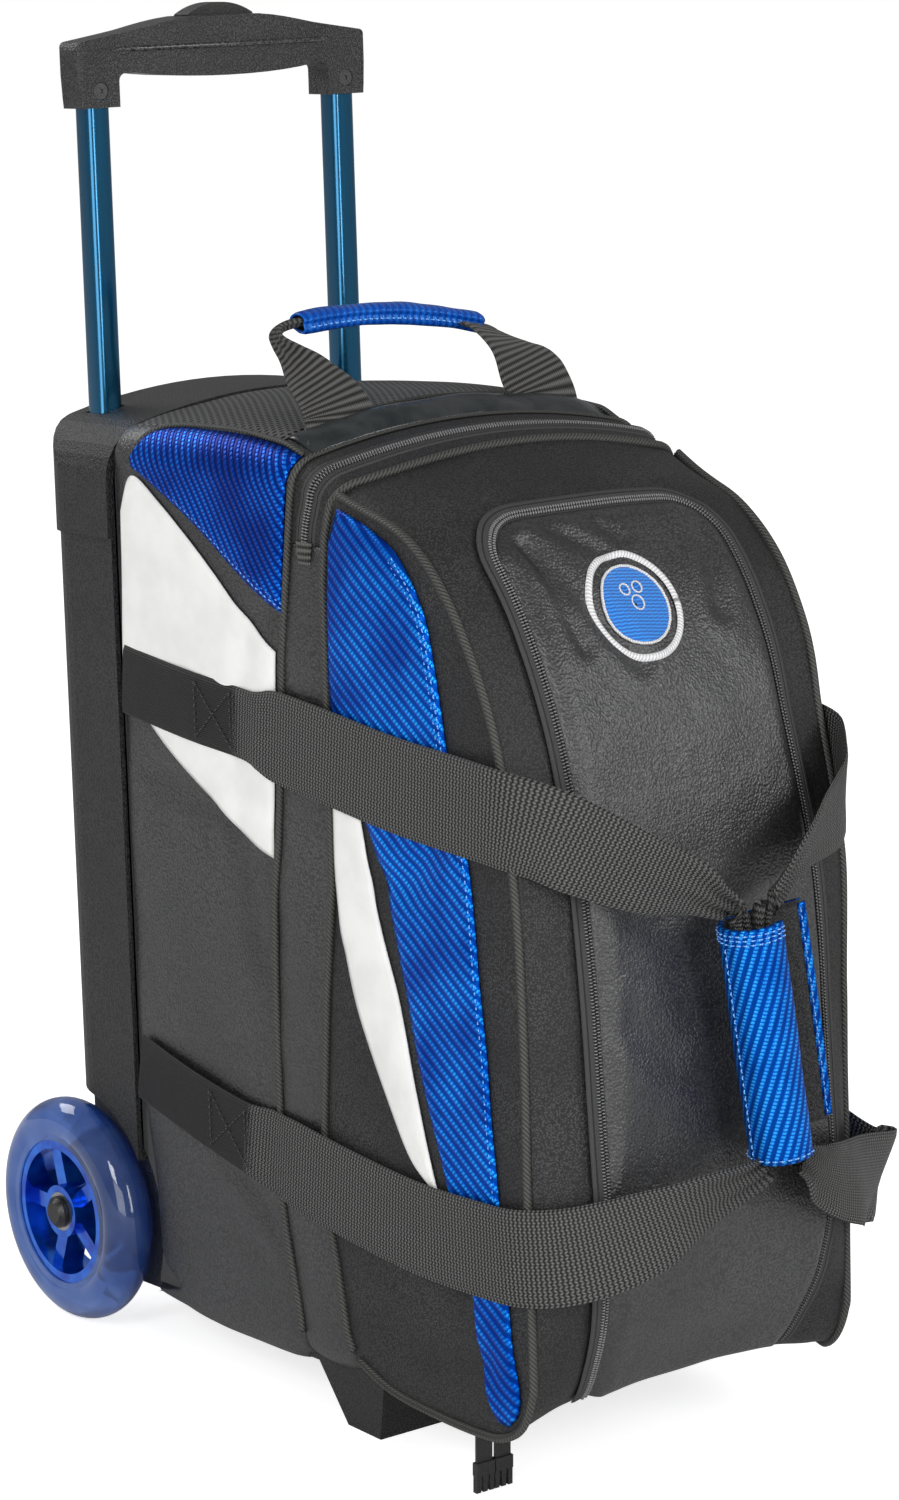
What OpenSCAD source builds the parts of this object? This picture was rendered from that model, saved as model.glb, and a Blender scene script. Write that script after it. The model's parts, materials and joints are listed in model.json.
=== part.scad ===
// Wheeled bag for two bowling balls.
// Millimetres; +Z up, the bag's front faces -Y, the floor is z = 0.
// The bag is drawn upright and then leans back about its axle, as it stands on its front foot.

/* [Body] */
// Half width of the soft body and of the back tray
body_half_w = 117; // [105:1:130]
// Height of the soft body's underside
body_bottom = 24; // [18:1:32]
// Height of the top panel along the middle
body_top = 524; // [505:1:560]
// Radius of the arched top, across the bag
crown_r = 380; // [300:10:600]
// Radius of the long edges between the sides and the top
shoulder_r = 30; // [20:1:45]
// Thickness of the padded skin
wall = 4; // [3:0.5:6]
// Distance from the middle of the bag to its front face
front_reach = 201; // [190:1:215]
// Distance from the middle of the bag to the front of the back tray
tray_front = 139; // [130:1:150]
// Radius of the lower front edge
toe_r = 41; // [25:1:55]
// Height at which the front face starts to curve back
brow_z = 262; // [230:1:300]
// How far the bag leans back on its foot, in degrees
lean = 2.5; // [0:0.5:4]

/* [Lid] */
// Place of the main zip, front to back
zip_y = -42; // [-52:1:-32]
// Lower ends of the main zip's teeth
zip_end_z = 464; // [440:1:480]
// Height of the line about which the lid folds forward
fold_z = 375; // [372:1:400]
// Gap between parts that move past each other
gap = 0.3; // [0.2:0.05:0.5]
// Width of one zip tape
tape_w = 6; // [4:0.5:9]

/* [Pocket] */
// Half width of the front pocket
pocket_half_w = 80; // [60:1:95]
// How far the pocket stands out from the front
pocket_depth = 16; // [10:1:22]
// Thickness of the pocket's skin
pocket_wall = 2.5; // [2:0.5:4]
// Height of the pocket's lower edge
pocket_low = 34; // [28:1:60]
// Height of the pocket's upper edge
pocket_high = 486; // [470:1:492]

/* [Back tray and trolley] */
// Distance from the middle of the bag to the tray's rear face
tray_rear = 206; // [198:1:214]
// Wall of the moulded tray
tray_wall = 3; // [2.5:0.5:4]
// Radius of the tray's upright rear corners
tray_r = 25; // [15:1:32]
// Lower edge of the cap that covers the top of the tray
cap_low = 450; // [430:1:480]
// How far the trolley tubes lie in from the body's sides
tube_in = 34; // [29:1:41]
// Place of the trolley tubes, front to back
tube_y = 190; // [184:1:192]
// Width of the square inner tube
tube_w = 15.5; // [14:0.5:17]
// Wall of the inner tube
tube_wall = 1.2; // [1:0.1:1.6]
// Clearance around the inner tube
tube_play = 0.3; // [0.2:0.05:0.4]
// Wall of the outer guide tube
guide_wall = 1.5; // [1:0.1:2]
// Lower end of the inner tube
tube_low = 238; // [232:1:260]
// Underside of the grip's legs
grip_low = 678; // [640:1:720]

/* [Grip] */
// Width of a leg of the grip
grip_leg = 24.5; // [22:0.5:28]
// Depth of a leg of the grip, front to back
grip_depth = 19; // [19:0.5:24]
// Depth of the hand bar in its middle, front to back
grip_bar_depth = 26; // [22:1:32]
// Height of the grip's outer shoulders above the underside
grip_h = 38; // [36:1:44]
// Height of the middle of the hand bar above the grip's underside
grip_bar = 14; // [12:1:16]
// Half width of the release button
button_half_w = 22; // [15:1:24]
// Depth of the release button
button_depth = 13; // [10:1:16]
// How far the button can be pressed
button_travel = 4; // [3:0.5:4]
// Radius of the push rods
rod_r = 2.5; // [2:0.25:3]

/* [Wheels] */
// Radius of the tyre
wheel_r = 63.5; // [55:0.5:70]
// Place of the axle, front to back
axle_y = 198; // [194:1:202]
// How far the middle of a wheel stands out from the body's side
wheel_out = 3; // [0:1:9]
// Width of the tyre
tyre_w = 28; // [24:1:32]
// Inner radius of the tyre
rim_r = 41; // [38:0.5:44]
// Width of the hub
hub_w = 24; // [22:1:28]
// Radius of the axle
axle_r = 4; // [3:0.5:5]
// Running clearance on the axle
axle_play = 0.05; // [0.02:0.01:0.08]
// Outer radius of a bearing
bearing_r = 11; // [9:0.5:13]
// Width of a bearing
bearing_w = 7; // [6:0.5:8]
// Number of spokes
spokes = 5; // [4:1:7]
// Gap between the tyre and the wheel well
well_gap = 7; // [6:0.5:8]

/* [Base] */
// Thickness of the base board
board_t = 6; // [4:0.5:8]
// Half width of the front foot
foot_half_w = 105; // [80:1:108]
// Place of the foot's front edge on the floor
foot_front = -59; // [-80:1:-50]
// Length of the foot's flat on the floor
foot_flat = 19; // [15:1:30]

/* [Inside] */
// Radius of a ball
ball_r = 108; // [106:0.5:109]
// Place of the balls, front to back
ball_y = -60; // [-66:1:-54]
// Radius of the lower ball's seat
cup_r = 85; // [70:1:90]
// Radius of the upper ball's seat
saddle_r = 50; // [40:1:60]
// Height of the upper ball's seat ring
saddle_h = 20; // [14:1:24]
// Thickness of the divider behind the balls
divider_t = 4; // [3:0.5:6]

/* [Webbing] */
// Width of the carry straps
strap_w = 50; // [38:1:52]
// Thickness of the webbing
strap_t = 2.4; // [1.8:0.2:3]
// Distance from the bag's middle to the swing axis of the carry straps
strap_pivot_y = -10; // [-14:1:-6]
// Height of the upper strap at its anchor
strap_high_z = 362; // [350:1:362]
// Height of the lower strap at its anchor
strap_low_z = 150; // [140:1:160]
// Rear end of the strap anchors
anchor_rear = 122; // [100:1:130]
// Place of the wrap's middle, front to back
wrap_y = -251; // [-256:1:-249]
// Outer radius of the wrap
wrap_r = 17; // [16:0.5:18]
// Thickness of the wrap
wrap_t = 3; // [2:0.5:3.5]
// Height of the wrap's middle
wrap_z = 222; // [215:1:228]
// Length of the wrap
wrap_len = 124; // [110:1:130]
// How far the wrap leans sideways, in degrees
wrap_tilt = 8.5; // [0:0.5:10]

/* [Top handle] */
// Place of the handle's hinge line, front to back
handle_y = -4; // [-8:1:0]
// Half distance between the middles of the handle's ends
handle_x = 68; // [60:1:72]
// Height of the handle above its hinge line
handle_rise = 52; // [45:1:58]
// Width of the handle's webbing
handle_w = 46; // [38:1:50]
// Half length of the padded wrap
handle_grip_half = 50; // [40:1:52]
// Radius of the padded wrap
handle_grip_r = 8; // [7:0.5:9]

/* [Hidden] */
tube_x = body_half_w - tube_in;
wheel_x = body_half_w + wheel_out;
$fn = 48;

// Leans what is drawn upright back about the axle.
module leaned() {
    translate([0, axle_y, wheel_r]) rotate([-lean, 0, 0]) translate([0, -axle_y, -wheel_r]) children();
}

// Draws its children again on the other side of the bag.
module both_sides() {
    children();
    mirror([1, 0, 0]) children();
}

// Extrudes an outline drawn in (y, z) along X, from x0 to x1.
module along_x(x0, x1) {
    translate([x0, 0, 0]) rotate([90, 0, 90]) linear_extrude(x1 - x0) children();
}

// Extrudes an outline drawn in (x, z) along Y, from y0 to y1.
module along_y(y0, y1) {
    translate([0, y1, 0]) rotate([90, 0, 0]) linear_extrude(y1 - y0) children();
}

function arc(centre, r, a0, a1, steps) =
    [for (i = [0:steps]) let (a = a0 + (a1 - a0) * i / steps) centre + r * [cos(a), sin(a)]];
function bezier(p, steps) =
    [for (i = [0:steps]) let (t = i / steps, s = 1 - t)
        s * s * s * p[0] + 3 * s * s * t * p[1] + 3 * s * t * t * p[2] + t * t * t * p[3]];

// Outline of the bag seen from the front, drawn in by inset.
hem_r = 14;
function section(inset, top = body_top) = let (
        w = body_half_w - inset,
        r = shoulder_r - inset,
        big = crown_r - inset,
        crown_z = top - crown_r,
        shoulder_z = crown_z + sqrt(pow(big - r, 2) - pow(w - r, 2)),
        tangent = atan2(shoulder_z - crown_z, w - r),
        hem = hem_r - inset,
        low = body_bottom + inset)
    concat(
        arc([hem - w, low + hem], hem, 180, 270, 4),
        arc([w - hem, low + hem], hem, 270, 360, 4),
        arc([w - r, shoulder_z], r, 0, tangent, 6),
        arc([0, crown_z], big, tangent + 2, 178 - tangent, 14),
        arc([r - w, shoulder_z], r, 180 - tangent, 180, 6));

// Outline of the soft body seen from the side, drawn in by inset.
zip_top_z = body_top - 18;
brow_y = -66;
function profile(inset, rear) = let (
        front = inset - front_reach,
        low = body_bottom + inset,
        r = toe_r - inset)
    concat(
        [[rear, low]],
        arc([front + r, low + r], r, 270, 180, 8),
        bezier([
            [front, brow_z],
            [front + 2, brow_z + 133 - 0.4 * inset],
            [brow_y - 77 + 0.6 * inset, zip_top_z - 28 - inset],
            [brow_y, zip_top_z - 4 - 1.1 * inset]], 14),
        [[brow_y + 38, body_top - 1 - 1.1 * inset], [rear, body_top + 10]]);

// Outline of the soft body seen from above.
cheek_r = 12;
function plan(inset, rear) = let (
        w = body_half_w - inset,
        r = cheek_r - inset,
        front = inset - front_reach)
    concat(
        [[w, rear], [-w, rear]],
        arc([r - w, front + r], r, 180, 270, 5),
        arc([w - r, front + r], r, 270, 360, 5));

module body_solid(inset, rear = tray_front) {
    intersection() {
        along_y(-front_reach - 20, rear) polygon(section(inset));
        along_x(-body_half_w - 20, body_half_w + 20) polygon(profile(inset, rear));
        linear_extrude(far) polygon(plan(inset, rear));
    }
}

// A skin of the body between two insets; negative insets lie outside it.
module skin(outer, inner) {
    difference() {
        body_solid(outer);
        body_solid(inner, tray_front + 1);
    }
}

// Spaces that cut the body into its pieces. The lid's lower edge runs from the fold line
// at the front up to the ends of the zip.
far = 700;
fold_y = -front_reach - 1.5;
function lid_edge(clear) = [
    [-far, fold_z + clear], [fold_y, fold_z + clear], [zip_y - clear, zip_end_z + clear]];
module lid_space(clear) {
    along_x(-far / 2, far / 2) polygon(concat(lid_edge(clear), [[zip_y - clear, far], [-far, far]]));
}
module front_low_space() {
    along_x(-far / 2, far / 2) polygon(concat(lid_edge(0), [[zip_y, 0], [-far, 0]]));
}
module rear_space() {
    translate([-far / 2, zip_y, 0]) cube([far, tray_front - zip_y, far]);
}

// Soft body
shell_color = [0.09, 0.09, 0.1];
blue = [0.02, 0.22, 0.75];
white = [0.92, 0.92, 0.9];
trim_t = 1;
seat = 0.1;

// The rear half of the shell carries the linings of the wheel wells.
module rear_shell() leaned() color(shell_color) difference() {
    intersection() {
        union() {
            skin(0, wall);
            intersection() {
                body_solid(0);
                wells(wall);
            }
        }
        rear_space();
    }
    wells(0);
}

module front_shell() leaned() color(shell_color) intersection() {
    skin(0, wall);
    front_low_space();
}

module lid_shell() leaned() color(shell_color) intersection() {
    skin(0, wall);
    lid_space(gap);
}

// What lies within the shell, clear of the wheel wells.
module inside_shell() difference() {
    body_solid(wall + seat);
    wells(wall + seat);
}
module rear_panel() leaned() color(shell_color) intersection() {
    inside_shell();
    translate([-far / 2, tray_front - wall, 0]) cube([far, wall, far]);
}

// A thin panel on top of the body, from y0 to y1.
trim_half = body_half_w - 12;
trim_low = body_top - 44;
module top_panel(y0, y1) intersection() {
    skin(-trim_t, -seat);
    translate([-trim_half, y0, trim_low]) cube([2 * trim_half, y1 - y0, far]);
}
module mesh_panel() leaned() color([0.16, 0.16, 0.16]) top_panel(handle_y + strap_t, tray_front - seat);

module handle_patch() leaned() color([0.05, 0.05, 0.05]) top_panel(zip_y + tape_w + seat, handle_y - strap_t);

module zip_tape(y0, y1, low) {
    intersection() {
        skin(-trim_t, -seat);
        translate([-far / 2, y0, low]) cube([far, y1 - y0, far]);
    }
}
module zip_tape_body() leaned() color([0.2, 0.2, 0.2]) zip_tape(zip_y + gap / 2, zip_y + tape_w, zip_end_z);
module zip_tape_lid() leaned() color([0.2, 0.2, 0.2]) zip_tape(zip_y - tape_w, zip_y - gap, zip_end_z);

// Outlines of the side panels in (y, z); each edge is a curve between corner points.
band_rear = 0;
band_front = -57;
panel_rear = tray_front - 4;
panel_front = band_rear + 4;
panel_top = body_top - 27;
blue_rear = concat(
    [[panel_rear, panel_top], [panel_front, panel_top]],
    bezier([[panel_front, panel_top - 77], [panel_front + 36, panel_top - 65],
        [panel_rear - 50, panel_top - 35], [panel_rear, panel_top - 15]], 6));
white_rear_high = concat(
    [[panel_rear, strap_high_z + 34]],
    bezier([[panel_rear, panel_top - 25], [panel_rear - 50, panel_top - 47],
        [panel_front + 41, panel_top - 77], [panel_front, panel_top - 93]], 6),
    [[panel_front, strap_high_z + 34]]);
white_rear_low = [
    [panel_rear - 26, strap_high_z - 27], [panel_front, strap_high_z - 27],
    [panel_front, strap_high_z - 72], [panel_front + 56, strap_high_z - 44]];
blue_front = concat(
    [[band_front - 3, 480], [band_front + 3, 400], [band_front - 2, 360]],
    bezier([[band_front - 8, 340], [-100, 290], [-125, 170], [-172, 34]], 8),
    [[-184, 40]],
    bezier([[-184, 60], [-184, 260], [-165, 350], [-133, 420]], 8),
    bezier([[-133, 420], [-112, 464], [-85, 480], [band_front - 3, 480]], 5));
white_front = concat(
    [[band_front + 3, 322], [band_front - 18, 322]],
    bezier([[band_front - 18, 322], [-100, 250], [-112, 190], [-132, 140]], 6),
    bezier([[-132, 140], [-90, 190], [-62, 240], [band_front + 3, 290]], 6));

module side_panel(outline, side) {
    intersection() {
        skin(-trim_t, -seat);
        along_x(side < 0 ? -far / 2 : trim_half, side < 0 ? -trim_half : far / 2) polygon(outline);
    }
}
module rear_white(side) {
    side_panel(white_rear_high, side);
    side_panel(white_rear_low, side);
}
module front_blue(side) intersection() {
    side_panel(blue_front, side);
    front_low_space();
}
module lid_blue(side) intersection() {
    side_panel(blue_front, side);
    lid_space(gap);
}
module blue_panel_rear_left() leaned() color(blue) side_panel(blue_rear, -1);
module blue_panel_rear_right() leaned() color(blue) side_panel(blue_rear, 1);
module white_panel_rear_left() leaned() color(white) rear_white(-1);
module white_panel_rear_right() leaned() color(white) rear_white(1);
module blue_panel_front_left() leaned() color(blue) front_blue(-1);
module blue_panel_front_right() leaned() color(blue) front_blue(1);
module white_panel_front_left() leaned() color(white) side_panel(white_front, -1);
module white_panel_front_right() leaned() color(white) side_panel(white_front, 1);
module lid_blue_panels() leaned() color(blue) {
    lid_blue(-1);
    lid_blue(1);
}

// Front pocket: a tray that stands out from the front face
module pocket_solid(depth, half_w, low, high) {
    intersection() {
        along_x(-half_w, half_w) difference() {
            polygon(profile(-depth, zip_y));
            polygon(profile(-seat, zip_y + 1));
        }
        translate([-far / 2, -far, low]) cube([far, far, high - low]);
    }
}
module pocket() {
    difference() {
        pocket_solid(pocket_depth, pocket_half_w, pocket_low, pocket_high);
        pocket_solid(pocket_depth - pocket_wall, pocket_half_w - pocket_wall, pocket_low + pocket_wall,
            pocket_high - pocket_wall);
    }
}
module pocket_lower() leaned() color(shell_color) intersection() {
    pocket();
    front_low_space();
}
module pocket_upper() leaned() color(shell_color) intersection() {
    pocket();
    lid_space(gap);
}

// Round badge on the upper pocket: a ring around a ball with three finger holes
badge_z = 428;
badge_tilt = 42;
badge_r = 22;
module badge() leaned() color(white) intersection() {
    along_x(-24, 24) difference() {
        polygon(profile(-pocket_depth - trim_t, zip_y));
        polygon(profile(-pocket_depth - seat, zip_y + 1));
    }
    translate([0, -front_reach + 10, badge_z]) rotate([90 - badge_tilt, 0, 0])
        cylinder(r = badge_r, h = 200, center = true);
}

// Inside
module base_board() leaned() color([0.35, 0.3, 0.25]) intersection() {
    inside_shell();
    translate([-body_half_w + hem_r, -front_reach + toe_r, body_bottom + wall + seat])
        cube([2 * (body_half_w - hem_r), front_reach - toe_r + tray_front - wall - seat, board_t]);
}
board_top = body_bottom + wall + seat + board_t;
// The lower ball rests on the rim of its cup, just clear of the base board.
function rest_h(r) = sqrt(ball_r * ball_r - r * r);
ball_clear = 3.5;
cup_h = ball_r - rest_h(cup_r) + ball_clear;
bay_half_w = body_half_w - wall - seat;
pad_t = 3;
inner_half_w = bay_half_w - pad_t - seat;
bay_rear = ball_y + ball_r + 4;
bay_front = ball_y - ball_r - 4;
module cup_blank(z, h) {
    translate([-inner_half_w, bay_front, z]) cube([2 * inner_half_w, bay_rear - bay_front - seat, h]);
}
module lower_ball_cup() leaned() color([0.25, 0.25, 0.27]) difference() {
    intersection() {
        cup_blank(board_top, cup_h);
        body_solid(wall + seat);
    }
    translate([0, ball_y, board_top - 1]) cylinder(r = cup_r, h = ball_r, $fn = 64);
}
separator_z = board_top + cup_h + rest_h(cup_r) + ball_r + 2;
module separator() leaned() color([0.3, 0.3, 0.32]) difference() {
    cup_blank(separator_z, board_t + saddle_h);
    translate([0, ball_y, separator_z + board_t]) cylinder(r = saddle_r, h = ball_r, $fn = 64);
}
divider_h = 400;
module divider_panel() leaned() color([0.2, 0.2, 0.22])
    translate([-inner_half_w, bay_rear, board_top]) cube([2 * inner_half_w, divider_t, divider_h]);
module side_pads() leaned() color([0.2, 0.2, 0.22]) intersection() {
    inside_shell();
    both_sides() translate([bay_half_w - pad_t, ball_y - ball_r, board_top])
        cube([pad_t, tray_front - wall - seat - ball_y + ball_r, fold_z - board_top - wall]);
}

// Back tray and its cap
function tray_plan(inset) = let (w = body_half_w - inset, r = tray_r - inset, rear = tray_rear - inset)
    concat(
        [[w, tray_front], [w, rear - r]],
        arc([w - r, rear - r], r, 0, 90, 8),
        arc([r - w, rear - r], r, 90, 180, 8),
        [[-w, tray_front]]);
module tray_solid(inset, low = body_bottom, front = tray_front) {
    intersection() {
        along_y(front, tray_rear + 20) polygon(section(inset, body_top - 3));
        translate([0, 0, low + inset]) linear_extrude(far) polygon(tray_plan(inset));
        translate([-far / 2, front, 0]) cube([far, far, far]);
    }
}
well_half = wheel_x - tyre_w / 2 - 4.5;
module wells(grow) both_sides()
    translate([well_half - grow, axle_y, wheel_r]) rotate([0, 90, 0])
        cylinder(r = wheel_r + well_gap + grow, h = 2 * tyre_w, $fn = 96);
module tube_holes(w) both_sides()
    translate([tube_x - w / 2, tube_y - w / 2, cap_low]) cube([w, w, far]);
guide_w = tube_w + 2 * (tube_play + guide_wall);
module back_tray() leaned() color([0.07, 0.07, 0.07]) difference() {
    tray_solid(0);
    difference() {
        tray_solid(tray_wall, body_bottom, tray_front - 1);
        wells(tray_wall);
    }
    wells(0);
    tube_holes(guide_w + 2 * seat);
    translate([-far / 2, axle_y, wheel_r]) rotate([0, 90, 0]) cylinder(r = axle_r + gap, h = far);
}
module top_cap() leaned() color([0.1, 0.1, 0.1]) difference() {
    tray_solid(-2, body_bottom, tray_front + seat);
    tray_solid(-seat, body_bottom, tray_front - 1);
    translate([-far / 2, 0, -far + cap_low]) cube([far, far, far]);
    tube_holes(tube_w + 2 * tube_play);
}

// Trolley
guide_low = 80;
guide_top = body_top - 17;
module square_tube(w, t, low, high) {
    translate([0, 0, low]) linear_extrude(high - low) difference() {
        square(w, center = true);
        square(w - 2 * t, center = true);
    }
}
module guide_tube() translate([tube_x, tube_y, 0]) square_tube(guide_w, guide_wall, guide_low, guide_top);
module guide_tube_left() leaned() color([0.6, 0.6, 0.62]) mirror([1, 0, 0]) guide_tube();
module guide_tube_right() leaned() color([0.6, 0.6, 0.62]) guide_tube();

// The grip is split level into a lower and an upper half; the tube ends under the yoke between them.
grip_seam = grip_low + 31;
yoke_h = 4;
yoke_w = 8;
yoke_play = 1;
yoke_half = tube_x + yoke_w / 2;
yoke_z = grip_seam - yoke_h - yoke_play;
tube_high = yoke_z - button_travel - 2 * gap;
module inner_tube() translate([tube_x, tube_y, 0]) square_tube(tube_w, tube_wall, tube_low, tube_high);
module inner_tube_left() leaned() color([0.0, 0.3, 0.5]) mirror([1, 0, 0]) inner_tube();
module inner_tube_right() leaned() color([0.0, 0.3, 0.5]) inner_tube();

plug_w = tube_w - 2 * tube_wall - 2 * seat;
module tube_plugs() leaned() color([0.1, 0.1, 0.1]) both_sides()
    translate([tube_x, tube_y, tube_low - 3]) {
        translate([-tube_w / 2, -tube_w / 2, 0]) cube([tube_w, tube_w, 3]);
        translate([-plug_w / 2, -plug_w / 2, 0]) cube([plug_w, plug_w, 15]);
    }

// Outline of the grip in (x, z), without the button's slot.
grip_top = grip_low + grip_h;
grip_mid = grip_top + 9;
leg_out = tube_x + grip_leg / 2;
leg_in = tube_x - grip_leg / 2;
grip_half_w = leg_out + 3;
shoulder_in = 6;
bar_drop = 4;
function grip_outline() = concat(
    [[leg_out, grip_low]],
    arc([grip_half_w - shoulder_in, grip_top - shoulder_in - 2], shoulder_in, 0, 75, 5),
    bezier([[60, grip_top + 3], [45, grip_top + 6], [35, grip_mid - 1], [button_half_w, grip_mid]], 4),
    bezier([[-button_half_w, grip_mid], [-35, grip_mid - 1], [-45, grip_top + 6], [-60, grip_top + 3]], 4),
    arc([shoulder_in - grip_half_w, grip_top - shoulder_in - 2], shoulder_in, 105, 180, 5),
    [[-leg_out, grip_low], [-leg_in, grip_low]],
    arc([bar_drop - leg_in, grip_low + grip_bar], bar_drop, 180, 90, 4),
    bezier([[-60, grip_low + grip_bar + bar_drop], [-30, grip_low + grip_bar - 1],
        [30, grip_low + grip_bar - 1], [60, grip_low + grip_bar + bar_drop]], 10),
    arc([leg_in - bar_drop, grip_low + grip_bar], bar_drop, 90, 0, 4),
    [[leg_in, grip_low]]);
// Outline of the grip seen from above: square legs and a bar that is deepest in its middle.
grip_r = 4;
function bar_side(side) = [for (i = [-8:8])
    [-side * leg_in * i / 8, side * (grip_depth + (grip_bar_depth - grip_depth) * cos(90 * i / 8)) / 2]];
function grip_corner(x, y, a) = arc(
    [x * (grip_half_w - grip_r), y * (grip_depth / 2 - grip_r)], grip_r, a, a + 90, 4);
function grip_plan() = concat(grip_corner(1, 1, 0), bar_side(1), grip_corner(-1, 1, 90),
    grip_corner(-1, -1, 180), bar_side(-1), grip_corner(1, -1, 270));
screw_z = grip_low + 9;
screw_head_r = 4.5;
screw_sink = 0.3;
screw_wall = (grip_depth - tube_w) / 2;
module grip_half(low, high) {
    difference() {
        intersection() {
            along_y(tube_y - grip_bar_depth, tube_y + grip_bar_depth) polygon(grip_outline());
            translate([0, tube_y, low]) linear_extrude(high - low) polygon(grip_plan());
        }
        tube_channel();
        // room for the yoke and its travel
        translate([0, tube_y, yoke_z + (yoke_h - button_travel) / 2]) cube(
            [2 * yoke_half, yoke_w, yoke_h + button_travel] + 2 * yoke_play * [1, 1, 1], center = true);
        // slot for the button
        translate([-button_half_w - gap, tube_y - button_depth / 2 - gap, yoke_z + yoke_h - button_travel])
            cube([2 * (button_half_w + gap), button_depth + 2 * gap, far]);
        // recesses for the screw heads
        both_sides() translate([tube_x, tube_y - grip_depth / 2 - 1, screw_z]) rotate([-90, 0, 0])
            cylinder(r = screw_head_r + gap, h = screw_wall + 1);
    }
}
module tube_channel() both_sides()
    translate([tube_x - tube_w / 2 - seat, tube_y - tube_w / 2 - seat, grip_low - 1])
        cube([tube_w + 2 * seat, tube_w + 2 * seat, tube_high - grip_low + 1 + seat]);
module grip_lower() leaned() color([0.05, 0.05, 0.05]) grip_half(grip_low, grip_seam);
module grip_upper() leaned() color([0.06, 0.06, 0.06]) grip_half(grip_seam + seat, grip_mid + 1);
module grip_screws() leaned() color([0.3, 0.3, 0.32]) both_sides()
    translate([tube_x, tube_y - grip_depth / 2 + screw_sink, screw_z]) rotate([-90, 0, 0]) difference() {
        cylinder(r = screw_head_r, h = screw_wall - screw_sink - seat);
        translate([0, 0, -1]) cylinder(r = 1.5, h = 1.7, $fn = 6);
    }
button_top = grip_mid + 7;
button_round = 42;
rod_low = tube_low + 18;
module release_button() leaned() color([0.12, 0.12, 0.12])
    translate([0, tube_y, 0]) intersection() {
        translate([-button_half_w, -button_depth / 2, yoke_z + yoke_h])
            cube([2 * button_half_w, button_depth, 2 * button_round]);
        translate([0, 0, button_top - button_round]) rotate([90, 0, 0])
            cylinder(r = button_round, h = 2 * button_round, center = true);
    }
module push_rods() leaned() color([0.5, 0.5, 0.52]) {
    translate([-yoke_half, tube_y - yoke_w / 2, yoke_z]) cube([2 * yoke_half, yoke_w, yoke_h]);
    both_sides() translate([tube_x, tube_y, rod_low]) cylinder(r = rod_r, h = yoke_z - rod_low);
}

// Rolling gear, on the axle
block_low = body_bottom + tray_wall + seat;
block_out = well_half - tray_wall - seat;
block_rear = tray_rear - tray_wall - seat;
module axle_block() difference() {
    intersection() {
        translate([tube_x - guide_w / 2, tube_y - guide_w / 2, block_low])
            cube([block_out - tube_x, block_rear - tube_y, guide_low - block_low] + guide_w / 2 * [1, 1, 0]);
        tray_solid(tray_wall + seat);
    }
    translate([0, axle_y, wheel_r]) rotate([0, 90, 0]) cylinder(r = axle_r + axle_play, h = far);
}
module axle_block_left() leaned() color([0.15, 0.15, 0.15]) mirror([1, 0, 0]) axle_block();
module axle_block_right() leaned() color([0.15, 0.15, 0.15]) axle_block();

axle_half = wheel_x + hub_w / 2 + 1;
// Turns what is drawn along Z onto the axle, pointing to one side.
module on_axle(side) translate([0, axle_y, wheel_r]) rotate([0, 90 * side, 0]) children();
module axle() color([0.7, 0.7, 0.72]) on_axle(1) cylinder(r = axle_r, h = 2 * axle_half, center = true);
module sleeve() difference() {
    translate([0, 0, well_half + seat]) cylinder(r = 8, h = wheel_x - hub_w / 2 - well_half - 2 * gap);
    cylinder(r = axle_r + axle_play, h = far);
}
module axle_sleeves() color([0.6, 0.6, 0.62]) {
    on_axle(1) sleeve();
    on_axle(-1) sleeve();
}
cap_r = 9;
module axle_cap() difference() {
    union() {
        translate([0, 0, wheel_x + hub_w / 2 + gap]) cylinder(r = cap_r, h = 2);
        translate([0, 0, wheel_x + hub_w / 2 + gap + 2]) cylinder(r1 = cap_r - 1, r2 = cap_r - 3, h = 2.5);
    }
    cylinder(r = axle_r + axle_play, h = axle_half + seat);
}
module axle_caps() color([0.08, 0.08, 0.08]) {
    on_axle(1) axle_cap();
    on_axle(-1) axle_cap();
}

// Wheel, drawn about Z with its middle at z = 0
tread_r = 13.9;
module tyre_shape() rotate_extrude($fn = 96) intersection() {
    translate([rim_r, -tyre_w / 2]) square([wheel_r - rim_r, tyre_w]);
    union() {
        translate([wheel_r - tread_r, 0]) circle(r = tread_r, $fn = 64);
        translate([rim_r, -tyre_w / 2 + 1]) square([wheel_r - tread_r - rim_r, tyre_w - 2]);
    }
}
module hub_shape() difference() {
    union() {
        difference() {
            cylinder(r = rim_r - seat, h = hub_w, center = true, $fn = 96);
            cylinder(r = rim_r - 5, h = hub_w + 2, center = true, $fn = 96);
        }
        cylinder(r = bearing_r + 4, h = hub_w, center = true);
        for (i = [0:spokes - 1]) rotate([0, 0, 90 + i * 360 / spokes])
            translate([bearing_r, -4.5, -hub_w / 2 + 5]) cube([rim_r - bearing_r - 3, 9, hub_w - 10]);
    }
    cylinder(r = axle_r + 3, h = hub_w + 2, center = true);
    for (s = [-1, 1]) translate([0, 0, s * hub_w / 2])
        cylinder(r = bearing_r + seat, h = 2 * bearing_w, center = true);
}
module bearing_pair() for (s = [-1, 1]) translate([0, 0, s * (hub_w - bearing_w) / 2]) difference() {
    cylinder(r = bearing_r, h = bearing_w - seat, center = true);
    cylinder(r = axle_r + axle_play, h = bearing_w + 2, center = true);
}
module at_wheel(side) translate([side * wheel_x, axle_y, wheel_r]) rotate([0, 90 * side, 0]) children();
module tyre_left() color([0.1, 0.3, 0.9, 0.6]) at_wheel(-1) tyre_shape();
module tyre_right() color([0.1, 0.3, 0.9, 0.6]) at_wheel(1) tyre_shape();
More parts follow.
